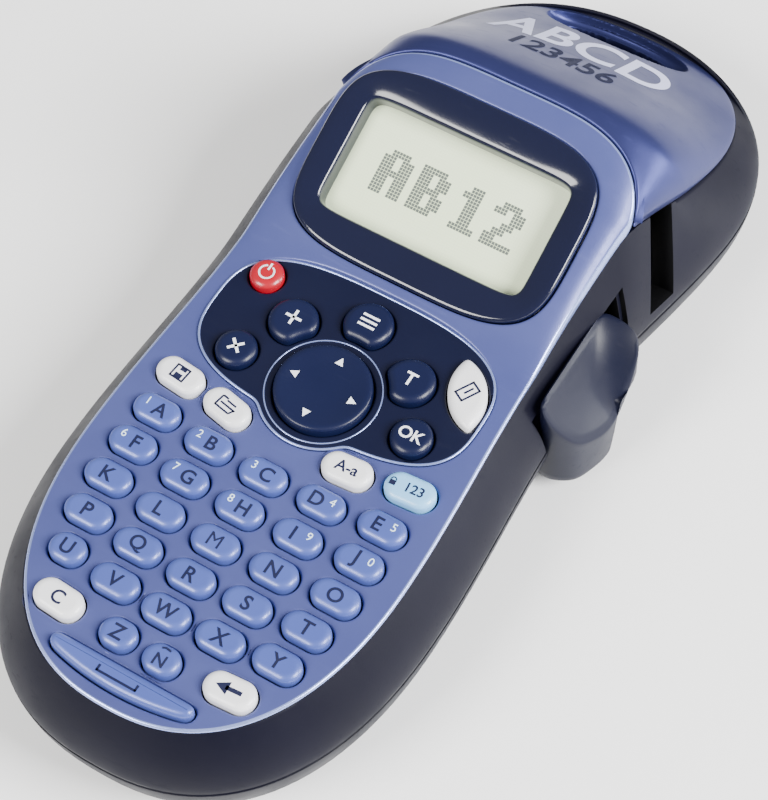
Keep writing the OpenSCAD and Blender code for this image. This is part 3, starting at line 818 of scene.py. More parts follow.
    def ring(self, inset: float, sides: Optional[int] = None) -> np.ndarray:
        """Closed plan of the body: tail arc, right side, head arc and left side.

        Args:
            inset: how far the plan is drawn in.
            sides: number of points on each side, where it isn't the usual one.

        Returns:
            Counter-clockwise points.
        """
        ends, sides = self.end_points, sides or self.side_points
        tail = superellipse(
            self.handle_w / 2 - inset,
            self.tail_len + self.tail_c - inset,
            self.tail_power,
            np.linspace(np.pi, 2 * np.pi, ends),
        ) + [0.0, self.tail_c]
        head = superellipse(
            self.head_w / 2 - inset,
            self.nose_len - self.head_c - inset,
            self.head_power,
            np.linspace(0.0, np.pi, ends),
        ) + [0.0, self.head_c]
        y = np.linspace(self.tail_c, self.head_c, sides + 2)[1:-1]
        right = np.stack([self.half_width(y) - inset, y], axis=-1)
        left = right[::-1] * [-1.0, 1.0]
        loop = np.concatenate([tail, right, head, left])
        loop[:, 0] += self.mid_x(loop[:, 1])
        return loop

    def by_lever(self, plan: np.ndarray) -> np.ndarray:
        """Which spans between neighbours of a closed plan lie in front of the lever."""
        middle = 0.5 * (plan + np.roll(plan, -1, axis=0))
        y = middle[:, 1]
        return (middle[:, 0] > 0) & (y > self.lever_start) & (y < self.lever_end)

    def seam(self, grow: float, count: int) -> np.ndarray:
        """Seam round the display, from its right corner over the crest to its left corner."""
        angle = np.linspace(self.seam_end, np.pi - self.seam_end, 400)
        path = superellipse(self.seam_a + grow, self.seam_b + grow, self.seam_power, angle)
        path = path + [self.seam_x, self.seam_y]
        across = np.abs(path[:, 0] - self.mid_x(path[:, 1])) < self.face_half(path[:, 1])
        return resample_open(path[across & (path[:, 1] > self.rim_front)], count)


FORM = Form()


def run_ends(spans: np.ndarray) -> tuple[int, int]:
    """Number of the first true span of a run, and the number after its last."""
    found = np.flatnonzero(spans)
    return int(found[0]), int(found[-1]) + 1


@dataclass
class RearShell:
    """Lower half of the body, the battery door and its grip."""

    form: Form
    edge_r: float = 2.2
    draw_share: float = 0.72
    draw_power: float = 1.7
    door_y: float = -26.0
    door_h: float = 6.0
    door_gap: float = 0.3
    rows: int = 26
    columns: int = 150
    turn_back: float = 30.0
    grip_w: float = 24.0
    grip_t: float = 1.2
    grip_from: float = 10.0
    grip_pitch: float = 3.0
    grip_count: int = 4
    grip_lift: float = 0.03
    pocket: float = 6.0

    def inset(self, z: np.ndarray) -> np.ndarray:
        """Draw-in of the wall, a power of the depth below the seam, with a round bottom edge."""
        depth = np.clip((self.form.seam_h - z) / self.form.seam_h, 0.0, 1.0)
        low = np.clip((self.edge_r - z) / self.edge_r, 0.0, 1.0)
        draw = self.form.tuck * self.draw_share * depth**self.draw_power
        return draw + self.edge_r * (1.0 - np.sqrt(1.0 - low**2))

    def levels(self, top: float, bottom: float, count: int) -> np.ndarray:
        """Heights that crowd towards the top."""
        return bottom + (top - bottom) * np.cos(np.linspace(0.0, np.pi / 2, count))

    def arc(self, z: float, front: bool, cut: float) -> np.ndarray:
        """Part of the plan at a height, in front of or behind a cut across the handle.

        Args:
            z: height of the plan.
            front: whether the part towards the nose is kept.
            cut: place of the cut along Y.

        Returns:
            Even points from one side of the cut to the other.
        """
        inset = float(self.inset(z))
        loop = self.form.ring(inset)
        if front:
            loop = np.roll(loop, len(loop) // 2, axis=0)
        part = loop[loop[:, 1] > cut] if front else loop[loop[:, 1] < cut]
        step = np.linalg.norm(np.diff(part, axis=0), axis=1)
        jump = int(np.argmax(step))
        if front or step[jump] > self.turn_back:
            part = np.roll(part, -(jump + 1), axis=0)
        half = float(self.form.half_width(np.array(cut))) - inset
        first, last = np.sign(part[0, 0]) * half, np.sign(part[-1, 0]) * half
        path = np.concatenate([[[first, cut]], part, [[last, cut]]])
        return at_height(resample_open(path, self.columns), z)

    def build_shell(self) -> None:
        """Rings from the lip at the parting line down to the floor, open round the lever."""
        form = self.form
        seam = form.seam_h - form.part_gap
        plan = form.ring(0.0)
        lip = at_height(offset_loop(plan, -form.part_lip), seam)
        roll = at_height(offset_loop(plan, -form.part_soft), seam)
        drop = at_height(plan, seam - form.part_soft)
        upper = self.levels(seam, self.door_h + self.door_gap, self.rows)
        wall = [at_height(form.ring(float(self.inset(z))), z) for z in upper[1:]]
        rows = np.array([lip, roll, drop, *wall])
        lever = form.by_lever(plan)
        skin = Skin()
        skin.grid(rows, keep=np.tile(~lever, (len(rows) - 1, 1)))
        # Walls of the lever's pocket, painted black as the shade inside it.
        for column in run_ends(lever):
            line = rows[:, column]
            skin.grid(np.array([line, line - [self.pocket, 0.0, 0.0]]), slot=1, closed=False)
        low = self.levels(self.door_h + self.door_gap, 0.0, self.rows // 2)
        front = [self.arc(z, True, self.door_y) for z in low]
        skin.grid(np.array(front), closed=False)
        skin.cap(front[-1])
        piece = skin.build("rear_shell_skin", [NAVY_SHELL, BLACK], "body", Slot.DARK_SHELL, 50.0)
        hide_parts("rear_shell")

    def build_door(self) -> None:
        """Rings of the door, closed above, below and across its front, and its grip bars."""
        cut = self.door_y - self.door_gap
        rings = [self.arc(z, False, cut) for z in self.levels(self.door_h, 0.0, self.rows // 2)]
        skin = Skin()
        skin.grid(np.array(rings), closed=False)
        skin.cap(rings[-1])
        skin.cap(rings[0][::-1])
        skin.add(np.concatenate([rings[0][[0, -1]], rings[-1][[-1, 0]]]), [(0, 1, 2, 3)])
        grip = star_outline(stadium(self.grip_w, self.grip_t), (0, 0), 40.0, 40)
        for row in range(self.grip_count):
            y = self.door_y - self.grip_from - row * self.grip_pitch
            flat = at_height(grip + [0.0, y], -self.grip_lift)
            skin.add(flat, [tuple(range(len(flat)))[::-1]], 1)
        piece = skin.build(
            "battery_door_skin", [NAVY_SHELL, BLACK], "battery_door", Slot.DARK_SHELL, 50.0
        )
        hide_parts("battery_door")

    def build(self) -> None:
        """Build the shell and the door."""
        self.build_shell()
        self.build_door()


@dataclass
class SideShell:
    """Dark upper wall between the parting line and the face, with the label outlet."""

    form: Form
    rows: int = 22
    rows_below: int = 5
    power: float = 1.55
    wall: float = 1.6
    slot_start: float = 35.2
    slot_end: float = 42.5
    slot_points: int = 6
    slot_z: float = 21.2
    slot_level_y: float = 45.0
    slot_lean: float = 12.0
    slot_middle: float = 38.5
    slot_reach: float = 20.0
    slot_depth: float = 5.0
    edge_drop: float = 0.55
    edge_lip: float = 0.9
    least_wall: float = 0.704
    lever_v: float = 0.66
    lever_reach: float = 6.0

    def parting(self) -> np.ndarray:
        """Plan at the parting line, with points right at the ends of the outlet and the lever."""
        form = self.form
        ends, sides = form.end_points, form.side_points
        loop = form.ring(0.0)
        outlet = np.linspace(self.slot_start, self.slot_end, self.slot_points)
        lever = [form.lever_start, form.lever_end]
        y = np.unique(np.concatenate([loop[ends : ends + sides, 1], lever, outlet]))
        right = np.stack([form.half_width(y) + form.mid_x(y), y], axis=-1)
        left = np.stack([form.mid_x(y) - form.half_width(y), y], axis=-1)[::-1]
        return np.concatenate([loop[:ends], right, loop[ends + sides : 2 * ends + sides], left])

    def top(self, low: np.ndarray) -> np.ndarray:
        """Top edge that answers each point of the parting line.

        Args:
            low: closed plan at the parting line.

        Returns:
            Points on the edge of the face, of the shoulders and of the cover's rim.
        """
        form = self.form
        ends = form.end_points
        sides = (len(low) - 2 * ends) // 2
        right, left = slice(ends, ends + sides), slice(2 * ends + sides, None)
        y = low[:, 1].copy()
        window = np.cos(np.clip((y[right] - self.slot_middle) / self.slot_reach, -1, 1) * np.pi / 2)
        y[right] = y[right] + self.slot_lean * window**2
        plan = form.ring(form.flare, sides)
        for part, side in ((right, 1), (left, -1)):
            plan[part, 0] = form.mid_x(y[part]) + side * form.face_half(y[part])
            plan[part, 1] = y[part]
        angle = np.linspace(0, np.pi, ends)
        arc = superellipse(form.rim_w / 2, form.rim_tip - form.head_c, form.rim_power, angle)
        arc = arc + [0.0, form.head_c]
        arc[:, 0] += form.mid_x(arc[:, 1])
        plan[ends + sides : 2 * ends + sides] = arc
        z = form.edge_z(plan[:, 1]) - self.edge_drop
        return at_height(plan, np.maximum(z, form.seam_h + self.least_wall))

    def blend(self, start: np.ndarray, top: np.ndarray, v: np.ndarray) -> np.ndarray:
        """Rows from the parting line to the top edge, drawn in by a power of the height."""
        way = top - start
        plan = start[None, :, :2] + way[None, :, :2] * (v**self.power)[:, None, None]
        height = start[None, :, 2] + way[None, :, 2] * v[:, None]
        return np.concatenate([plan, height[..., None]], axis=2)

    def reveal(self, skin: Skin, line: np.ndarray, depth: float) -> None:
        """Walls that go in from the edge of an opening, painted black as the shade inside it."""
        skin.grid(np.array([line, line - [depth, 0.0, 0.0]]), slot=1, closed=False)

    def build(self) -> None:
        """Build the wall as a blend, open at the outlet and round the lever."""
        form = self.form
        low = self.parting()
        seam = form.seam_h + form.part_gap
        start = at_height(low, seam + form.part_soft)
        top = self.top(low)
        level = float(form.edge_z(np.array(self.slot_level_y)))
        slot_v = (self.slot_z - form.seam_h) / (level - form.seam_h)
        below = np.linspace(0, slot_v, self.rows_below)
        v = np.concatenate([below, np.linspace(slot_v, 1, self.rows)[1:]])
        wall = self.blend(start, top, v)
        middle = 0.5 * (low + np.roll(low, -1, axis=0))
        y = middle[:, 1]
        slot = (middle[:, 0] > 0) & (y > self.slot_start) & (y < self.slot_end)
        lever = form.by_lever(low)
        keep = np.ones((len(v) - 1, len(low)), bool)
        keep[np.ix_(v[:-1] >= slot_v - 1e-9, slot)] = False
        keep[np.ix_(v[:-1] < self.lever_v, lever)] = False
        skin = Skin()
        skin.grid(wall, keep=keep)
        first, last = run_ends(lever)
        rows = np.arange(np.sum(v[:-1] < self.lever_v) + 1)
        sides = [wall[rows, first], wall[rows[-1], first + 1 : last], wall[rows[::-1], last]]
        self.reveal(skin, np.concatenate(sides), self.lever_reach)
        under = at_height(offset_loop(low, -form.part_soft), seam)
        inner = at_height(offset_loop(low, -form.part_lip), seam)
        skin.grid(np.array([inner, under, start]), keep=np.tile(~lever, (2, 1)))
        lip = at_height(offset_loop(top[:, :2], -self.edge_lip), top[:, 2])
        skin.grid(np.array([top, lip]), keep=~slot[None, :])
        first, last = run_ends(slot)
        rows = np.flatnonzero(v >= slot_v - 1e-9)
        sides = [wall[rows[::-1], first], wall[rows[0], first + 1 : last], wall[rows, last]]
        self.reveal(skin, np.concatenate(sides), self.slot_depth)
        piece = skin.build(
            "side_shell_skin", [NAVY_SHELL, BLACK], "body", Slot.DARK_SHELL, 50.0, self.wall, False
        )
        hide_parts("front_shell")


# ---------------------------------------------------------------- key plans


def stadium(length: float, width: float) -> Callable:
    """Test for a bar with round ends."""
    reach = (length - width) / 2
    return lambda x, y: np.hypot(np.maximum(np.abs(x) - reach, 0.0), y) < width / 2


@dataclass(frozen=True)
class KeySizes:
    """Sizes of the keys and the places that follow from them."""

    letter: tuple[float, float] = (10.2, 6.2)
    short: tuple[float, float] = (7.8, 6.2)
    side: tuple[float, float] = (10.8, 6.4)
    round_r: float = 4.3
    menu_r: float = 5.2
    power_r: float = 3.6
    pad_r: float = 10.0
    lobe_r: float = 13.2
    pad_y: float = -19.0
    menu_ring: float = 17.4
    almond: tuple[float, float] = (16.6, 8.0)
    bar_top: float = -89.0
    bar_w: float = 5.0
    bar_l: float = 32.4
    bar_arc: float = 60.0
    gap: float = 0.35
    rise: float = 1.9
    reach: float = 40.0

    def plan(self, shape: KeyShape, place: tuple[float, float], turn: float) -> np.ndarray:
        """Outline of a key about its place.

        Args:
            shape: plan of the key.
            place: its place on the face.
            turn: its turn in degrees.

        Returns:
            Counter-clockwise outline on the face.
        """
        inside = self.test(shape, place)
        centre = (0.0, self.bar_top - self.bar_w / 2) if shape is KeyShape.BAR else (0.0, 0.0)
        loop = star_outline(inside, centre, self.reach, 112 if shape is KeyShape.PAD else 72)
        if shape in (KeyShape.MENU, KeyShape.ALMOND, KeyShape.BAR):
            loop = smooth_loop(loop, 3)
        angle = math.radians(turn)
        spin = np.array([[math.cos(angle), math.sin(angle)], [-math.sin(angle), math.cos(angle)]])
        return loop @ spin + np.array(place)

    def test(self, shape: KeyShape, place: tuple[float, float]) -> Callable:
        """Inside test of a shape about its own centre."""
        bars = {
            KeyShape.LETTER: self.letter, KeyShape.SHORT: self.short, KeyShape.SIDE: self.side
        }
        if shape in bars:
            return stadium(*bars[shape])
        if shape is KeyShape.ALMOND:
            length, width = self.almond
            r = (length**2 + width**2) / (4 * width)
            lift = r - width / 2
            return lambda x, y: (np.hypot(x, y - lift) < r) & (np.hypot(x, y + lift) < r)
        if shape is KeyShape.BAR:
            top, radius, half = self.bar_top, self.bar_arc, self.bar_l / 2
            arc_y = top - self.bar_w + radius
            return lambda x, y: (np.abs(x) < half) & (y < top) & (np.hypot(x, y - arc_y) < radius)
        if shape is KeyShape.MENU:
            px, py = -place[0], self.pad_y - place[1]
            disc, bite = self.menu_r, self.lobe_r
            return lambda x, y: (np.hypot(x, y) < disc) & (np.hypot(x - px, y - py) > bite)
        radius = {
            KeyShape.ROUND: self.round_r,
            KeyShape.POWER: self.power_r,
            KeyShape.PAD: self.pad_r,
        }[shape]
        return lambda x, y: np.hypot(x, y) < radius


KEYS = KeySizes()
MENU_ANGLES = {"key_insert": -52.0, "key_settings": 0.0, "key_format": 54.0}


@dataclass(frozen=True)
class Key:
    """One key: its node, plan, finish and marks."""

    node: str
    shape: KeyShape
    finish: Finish
    slot: Slot
    ink: Finish
    turn: float = 0.0
    text: str = ""
    size: float = 4.3
    digit: str = ""
    corner: Corner = Corner.LEFT
    marks: tuple[str, ...] = ()

    def place(self) -> tuple[float, float]:
        """Place on the face: the middle of the node, or the ring round the pad for a bitten key."""
        if self.node in MENU_ANGLES:
            angle = math.radians(MENU_ANGLES[self.node])
            return (
                KEYS.menu_ring * math.sin(angle),
                KEYS.pad_y + KEYS.menu_ring * math.cos(angle),
            )
        if self.shape is KeyShape.BAR:
            return (0.0, 0.0)
        low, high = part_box(self.node)
        return ((low[0] + high[0]) / 2 / MM, (low[1] + high[1]) / 2 / MM)

    def text_shift(self) -> tuple[float, float]:
        """How far the text stands off the key's middle, away from a digit or a mark."""
        if self.digit:
            return (-0.9 * self.corner.value, 0.0)
        return TEXT_SHIFTS.get(self.node, (0.0, 0.0))

    def plan(self) -> np.ndarray:
        """Outline on the face."""
        return KEYS.plan(self.shape, self.place(), self.turn)

    def on_panel(self) -> bool:
        """Whether the key comes through the control panel."""
        return self.shape in (
            KeyShape.MENU, KeyShape.ROUND, KeyShape.POWER, KeyShape.PAD, KeyShape.ALMOND
        )


TEXT_SHIFTS = {"key_enye": (0.0, -0.5), "key_numbers": (1.1, 0.0)}
DIGITS = {
    "a": ("1", Corner.LEFT), "b": ("2", Corner.LEFT), "c": ("3", Corner.LEFT),
    "d": ("4", Corner.RIGHT), "e": ("5", Corner.RIGHT), "f": ("6", Corner.LEFT),
    "g": ("7", Corner.LEFT), "h": ("8", Corner.LEFT), "i": ("9", Corner.RIGHT),
    "j": ("0", Corner.RIGHT),
}


def letter_keys() -> list[Key]:
    """Blue keys of the alphabet, each with its letter and, on ten of them, a digit."""
    keys = []
    for letter in "abcdefghijklmnopqrstuvwxyz":
        shape = KeyShape.SHORT if letter in "uz" else KeyShape.LETTER
        digit, corner = DIGITS.get(letter, ("", Corner.LEFT))
        keys.append(
            Key(
                f"key_{letter}", shape, KEY_BLUE, Slot.KEY_BLUE, DARK_INK,
                text=letter.upper(), digit=digit, corner=corner,
            )
        )
    return keys


def other_keys() -> list[Key]:
    """Space bar, white and navy keys, the red key and the navigation pad."""
    white = (WHITE_KEY, Slot.KEY_WHITE, DARK_INK)
    navy = (NAVY_KEY, Slot.KEY_NAVY, WHITE_INK)
    return [
        Key("key_enye", KeyShape.SHORT, KEY_BLUE, Slot.KEY_BLUE, DARK_INK, text="N", size=3.6,
            marks=("tilde",)),
        Key("key_space", KeyShape.BAR, KEY_BLUE, Slot.KEY_BLUE, DARK_INK, marks=("bracket",)),
        Key("key_clear", KeyShape.SIDE, *white, turn=-4, text="C", size=4.0),
        Key("key_backspace", KeyShape.SIDE, *white, turn=4, marks=("arrow",)),
        Key("key_save", KeyShape.SIDE, *white, turn=-6, marks=("disk",)),
        Key("key_open", KeyShape.SIDE, *white, turn=-12, marks=("folder",)),
        Key("key_caps", KeyShape.SIDE, *white, turn=4, text="A-a", size=3.4),
        Key("key_numbers", KeyShape.SIDE, PALE_KEY, Slot.KEY_PALE_BLUE, DARK_INK, turn=4,
            text="123", size=2.9, marks=("lock",)),
        Key("key_power", KeyShape.POWER, RED_KEY, Slot.KEY_RED, WHITE_INK, marks=("power",)),
        Key("key_cancel", KeyShape.ROUND, *navy, marks=("cross",)),
        Key("key_insert", KeyShape.MENU, *navy, marks=("plus",)),
        Key("key_settings", KeyShape.MENU, *navy, marks=("lines",)),
        Key("key_format", KeyShape.MENU, *navy, text="T", size=4.2),
        Key("key_ok", KeyShape.ROUND, *navy, text="OK", size=3.6),
        Key("key_print", KeyShape.ALMOND, *white, turn=-60, marks=("label",)),
        Key("key_navigation", KeyShape.PAD, *navy, marks=("pointers",)),
    ]


# ---------------------------------------------------------------- marks


KEY_STROKE = 0.018
COVER_STROKE = 0.02
THIN_LETTERS = "M"


def lettering(text: str, size: float, weight: float = 0.0) -> tuple[np.ndarray, list]:
    """Flat mesh of a text, centred on the origin.

    Args:
        text: what is written.
        size: height of the text's line.
        weight: how much the strokes are thickened, as a share of the size.

    Returns:
        Points with z at 0, and faces.
    """
    curve = bpy.data.curves.new("lettering", "FONT")
    curve.body = text
    curve.size = size
    curve.offset = weight * size
    curve.align_x = "CENTER"
    writer = bpy.data.objects.new("lettering", curve)
    bpy.context.scene.collection.objects.link(writer)
    bpy.context.view_layer.update()
    depsgraph = bpy.context.evaluated_depsgraph_get()
    mesh = bpy.data.meshes.new_from_object(writer.evaluated_get(depsgraph))
    points = np.array([tuple(v.co) for v in mesh.vertices])
    faces = [tuple(p.vertices) for p in mesh.polygons]
    bpy.data.objects.remove(writer)
    bpy.data.curves.remove(curve)
    bpy.data.meshes.remove(mesh)
    points[:, :2] -= (points[:, :2].min(axis=0) + points[:, :2].max(axis=0)) / 2
    return points, faces


def bar(x: float, y: float, length: float, width: float, turn: float = 0.0) -> np.ndarray:
    """Corners of a straight stroke about its middle."""
    angle = math.radians(turn)
    along = np.array([math.cos(angle), math.sin(angle)]) * length / 2
    side = np.array([-math.sin(angle), math.cos(angle)]) * width / 2
    return np.array([x, y]) + np.array([-along - side, along - side, along + side, side - along])


def wedge(x: float, y: float, size: float, turn: float) -> np.ndarray:
    """Corners of a triangle that points along its turn."""
    angles = np.radians(turn + np.array([0.0, 125.0, 235.0]))
    return np.array([x, y]) + size * np.stack([np.cos(angles), np.sin(angles)], axis=-1)


def frame_box(w: float, h: float, stroke: float) -> list[np.ndarray]:
    """Four strokes round a rectangle."""
    return [
        bar(0, h / 2, w + stroke, stroke), bar(0, -h / 2, w + stroke, stroke),
        bar(-w / 2, 0, stroke, h), bar(w / 2, 0, stroke, h),
    ]


def ring_arc(radius: float, stroke: float, start: float, stop: float) -> list[np.ndarray]:
    """Short strokes along an arc."""
    angles = np.linspace(math.radians(start), math.radians(stop), 22)
    step = 1.12 * radius * (angles[1] - angles[0])
    return [
        bar(radius * math.cos(a), radius * math.sin(a), step, stroke, math.degrees(a) + 90)
        for a in angles
    ]


def mark(name: str) -> list[np.ndarray]:
    """Strokes of a mark about its key's centre."""
    thin = 0.42
    pad_reach = 6.6
    marks = {
        "tilde": [bar(-0.5, 2.1, 1.0, thin, 22), bar(0.5, 2.1, 1.0, thin, -10)],
        "bracket": [bar(0, -0.7, 9.0, 0.5), bar(-4.3, -0.15, 0.5, 1.4), bar(4.3, -0.15, 0.5, 1.4)],
        "arrow": [bar(0.9, 0, 3.4, 0.9), wedge(-1.2, 0, 1.7, 180)],
        "disk": [*frame_box(3.0, 2.9, thin), bar(0, -0.75, 1.7, 1.1), bar(0.2, 0.95, 1.5, 0.75)],
        "folder": [
            bar(-0.3, -1.25, 3.6, thin), bar(-2.0, 0.0, thin, 2.6), bar(-1.3, 1.3, 1.4, thin),
            bar(0.6, 0.9, 2.4, thin), bar(0.4, -0.1, 3.8, thin), bar(1.8, -0.7, 1.4, thin, 68),
        ],
        "lock": [bar(-3.7, -0.25, 1.3, 1.1), *[b + [-3.7, 0.4] for b in ring_arc(0.5, 0.25, 0, 180)]],
        "power": [*ring_arc(1.55, 0.4, 120, 420), bar(0, 1.4, 0.45, 1.7)],
        "cross": [bar(0, 0, 3.6, 0.62, 45), bar(0, 0, 3.6, 0.62, -45)],
        "plus": [bar(0, 0.2, 3.6, 0.62), bar(0, 0.2, 0.62, 3.6)],
        "lines": [bar(0, 1.4, 3.8, 0.55), bar(0, 0.2, 3.8, 0.55), bar(0, -1.0, 3.8, 0.55)],
        "label": [
            *[b @ np.array([[0.5, 0.866], [-0.866, 0.5]]) for b in frame_box(4.2, 2.4, 0.45)],
            bar(0.15, 0.25, 2.2, 0.45, 60),
        ],
        "pointers": [
            wedge(pad_reach * x, pad_reach * y, 1.15, turn)
            for x, y, turn in ((1, 0, 0), (0, 1, 90), (-1, 0, 180), (0, -1, 270))
        ],
    }
    return marks[name]


@dataclass
class Keypad:
    """All keys, each riding on its own body."""

    form: Form
    keys: list[Key]
    depth: float = 2.7
    ink_lift: float = 0.035
    pad_ink_drop: float = 0.2
    panel_proud: float = 0.4
    digit_size: float = 2.5
    digit_x: float = 2.3
    digit_y: float = 0.75

    def profile(self, key: Key) -> list[tuple[float, float]]:
        """Inset and height of each ring up the key's side and over its shoulder."""
        rise = KEYS.rise
        if key.shape is KeyShape.PAD:
            return [
                (0.0, -self.depth), (0.0, rise - 0.7), (0.12, rise - 0.32), (0.4, rise - 0.08),
                (0.9, rise), (1.5, rise - 0.05), (3.0, rise - 0.32), (5.0, rise - 0.5),
                (7.4, rise - 0.56), (7.8, rise - 0.56),
            ]
        soft = 1.0 if key.shape is not KeyShape.BAR else 0.85
        return [
            (0.0, -self.depth), (0.0, rise - 1.05), (0.06, rise - 0.85), (0.22 * soft, rise - 0.6),
            (0.5 * soft, rise - 0.34), (0.82 * soft, rise - 0.15), (1.15 * soft, rise - 0.05),
            (1.4 * soft, rise), (1.6 * soft, rise),
        ]

    def inner(self, key: Key, plan: np.ndarray, inset: float) -> np.ndarray:
        """Plan drawn in by an inset; the almond shrinks about its middle to keep its tips whole."""
        if key.shape is KeyShape.ALMOND:
            place = np.array(key.place())
            return place + (plan - place) * (1.0 - inset / (KEYS.almond[1] / 2))
        return offset_loop(plan, -inset)

    def build_key(self, key: Key) -> None:
        """Build one key with its marks."""
        place = np.array(key.place())
        lift = self.form.face_z + (self.panel_proud if key.on_panel() else 0.0)
        plan = key.plan()
        skin = Skin()
        profile = self.profile(key)
        rings = np.array([at_height(self.inner(key, plan, d), lift + h) for d, h in profile])
        skin.grid(rings)
        skin.cap(rings[-1])
        skin.cap(rings[0][::-1])
        top = lift + profile[-1][1] + self.ink_lift
        if key.shape is KeyShape.PAD:
            top = lift + KEYS.rise - self.pad_ink_drop
        if key.text:
            stroke = 0.0 if key.text in THIN_LETTERS else KEY_STROKE
            points, faces = lettering(key.text, key.size, stroke)
            self.write(skin, points[:, :2] + key.text_shift(), faces, key, place, top, 1)
        if key.digit:
            points, faces = lettering(key.digit, self.digit_size)
            corner = [self.digit_x * key.corner.value, self.digit_y]
            self.write(skin, points[:, :2] + corner, faces, key, place, top, 2)
        for name in key.marks:
            centre = place
            if key.shape is KeyShape.BAR:
                centre = np.array([0.0, KEYS.bar_top - KEYS.bar_w / 2])
            for stroke in mark(name):
                self.write(skin, stroke, [tuple(range(len(stroke)))], key, centre, top, 1)
        piece = skin.build(
            f"{key.node}_cap", [key.finish, key.ink, PALE_INK], key.node, key.slot, 32.0, 0.0, False
        )
        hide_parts(key.node)

    def write(
        self, skin: Skin, flat: np.ndarray, faces: Sequence, key: Key, centre: np.ndarray,
        top: float, slot: int,
    ) -> None:
        """Lay a flat mark on top of a key, turned with it."""
        turn = math.radians(0.0 if key.shape is KeyShape.ALMOND else key.turn)
        spin = np.array([[math.cos(turn), math.sin(turn)], [-math.sin(turn), math.cos(turn)]])
        skin.add(at_height(flat @ spin + centre, top), faces, slot)

    def build(self) -> None:
        """Build every key."""
        for key in self.keys:
            self.build_key(key)


# ---------------------------------------------------------------- face


@dataclass
class FacePlate:
    """Blue plate with an opening round each key, and the edge that frames it, painted light as a
    highlight.
    """

    form: Form
    keys: list[Key]
    bevel: float = 0.42
    support: float = 0.3
    wall: float = 1.9
    panel_gap: float = 0.1
    bezel_gap: float = 0.15
    spacing: float = 2.0

    def outline(self) -> np.ndarray:
        """Outer loop: handle end, right side, seam over the crest, left side."""
        form = self.form
        tail = superellipse(
            form.handle_w / 2 - form.flare,
            form.tail_len + form.tail_c - form.flare,
            form.tail_power,
            np.linspace(np.pi, 2 * np.pi, 200),
        ) + [0.0, form.tail_c]
        seam = form.seam(0.0, 240)
        y = np.linspace(form.tail_c, seam[0, 1], 160)[1:-1]
        right = np.stack([form.mid_x(y) + form.face_half(y), y], axis=-1)
        y = np.linspace(seam[-1, 1], form.tail_c, 160)[1:-1]
        left = np.stack([form.mid_x(y) - form.face_half(y), y], axis=-1)
        return smooth_loop(resample(np.concatenate([tail, right, seam, left]), 520), 4)

    def well(self, skin: Skin, loop: np.ndarray, height: Callable) -> np.ndarray:
        """Rounded edge of an opening; returns the loop where the flat face begins."""
        steps = [
            (self.bevel + self.support, 0.0), (self.bevel, 0.0), (0.6 * self.bevel, 0.05),
            (0.25 * self.bevel, 0.2), (0.0, 0.5), (0.0, 0.9),
        ]
        rings = []
        for out, drop in steps:
            ring = offset_loop(loop, out)
            rings.append(at_height(ring, height(ring[:, 0], ring[:, 1]) - drop))
        skin.grid(np.array(rings)[::-1])
        return rings[0][:, :2]

    def build(self, panel: np.ndarray, bezel: np.ndarray) -> None:
        """Build the plate round its keys, the control panel and the display.

        Args:
            panel: outline of the control panel.
            bezel: plan of the display bezel as seen from above.
        """
        form = self.form
        skin = Skin()
        height = form.skin_z
        holes = []
        for key in self.keys:
            if not key.on_panel():
                holes.append(self.well(skin, offset_loop(key.plan(), KEYS.gap), height))
        holes.append(self.well(skin, offset_loop(panel, self.panel_gap), height))
        holes.append(self.well(skin, offset_loop(bezel, self.bezel_gap), height))
        loop = self.outline()
        edge_steps = [(0.0, 1.3), (0.0, 0.5), (0.12, 0.22), (0.32, 0.06), (0.6, 0.0), (0.95, 0.0)]
        rings = []
        for inset, drop in edge_steps:
            ring = offset_loop(loop, -inset)
            level = height(ring[:, 0], ring[:, 1])
            rings.append(at_height(ring, level - drop))
        # The outer bevel wears the rim finish, whose light blue is a painted highlight.
        skin.grid(np.array(rings[:5]), slot=1)
        skin.grid(np.array(rings[4:]))
        inner = rings[-1][:, :2]
        shoulder = [offset_loop(loop, -d) for d in (1.3, 1.8, 2.5, 3.4, 4.6, 6.0)]
        shoulder = [ring[ring[:, 1] > 0] for ring in shoulder]
        skin.fill(inner, holes, height, self.spacing, 0, shoulder)
        piece = skin.build(
            "face_plate_skin", [PLATE, RIM_HIGHLIGHT], "body", Slot.FACE_BLUE, 60.0, self.wall, True
        )
        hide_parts("face_plate")


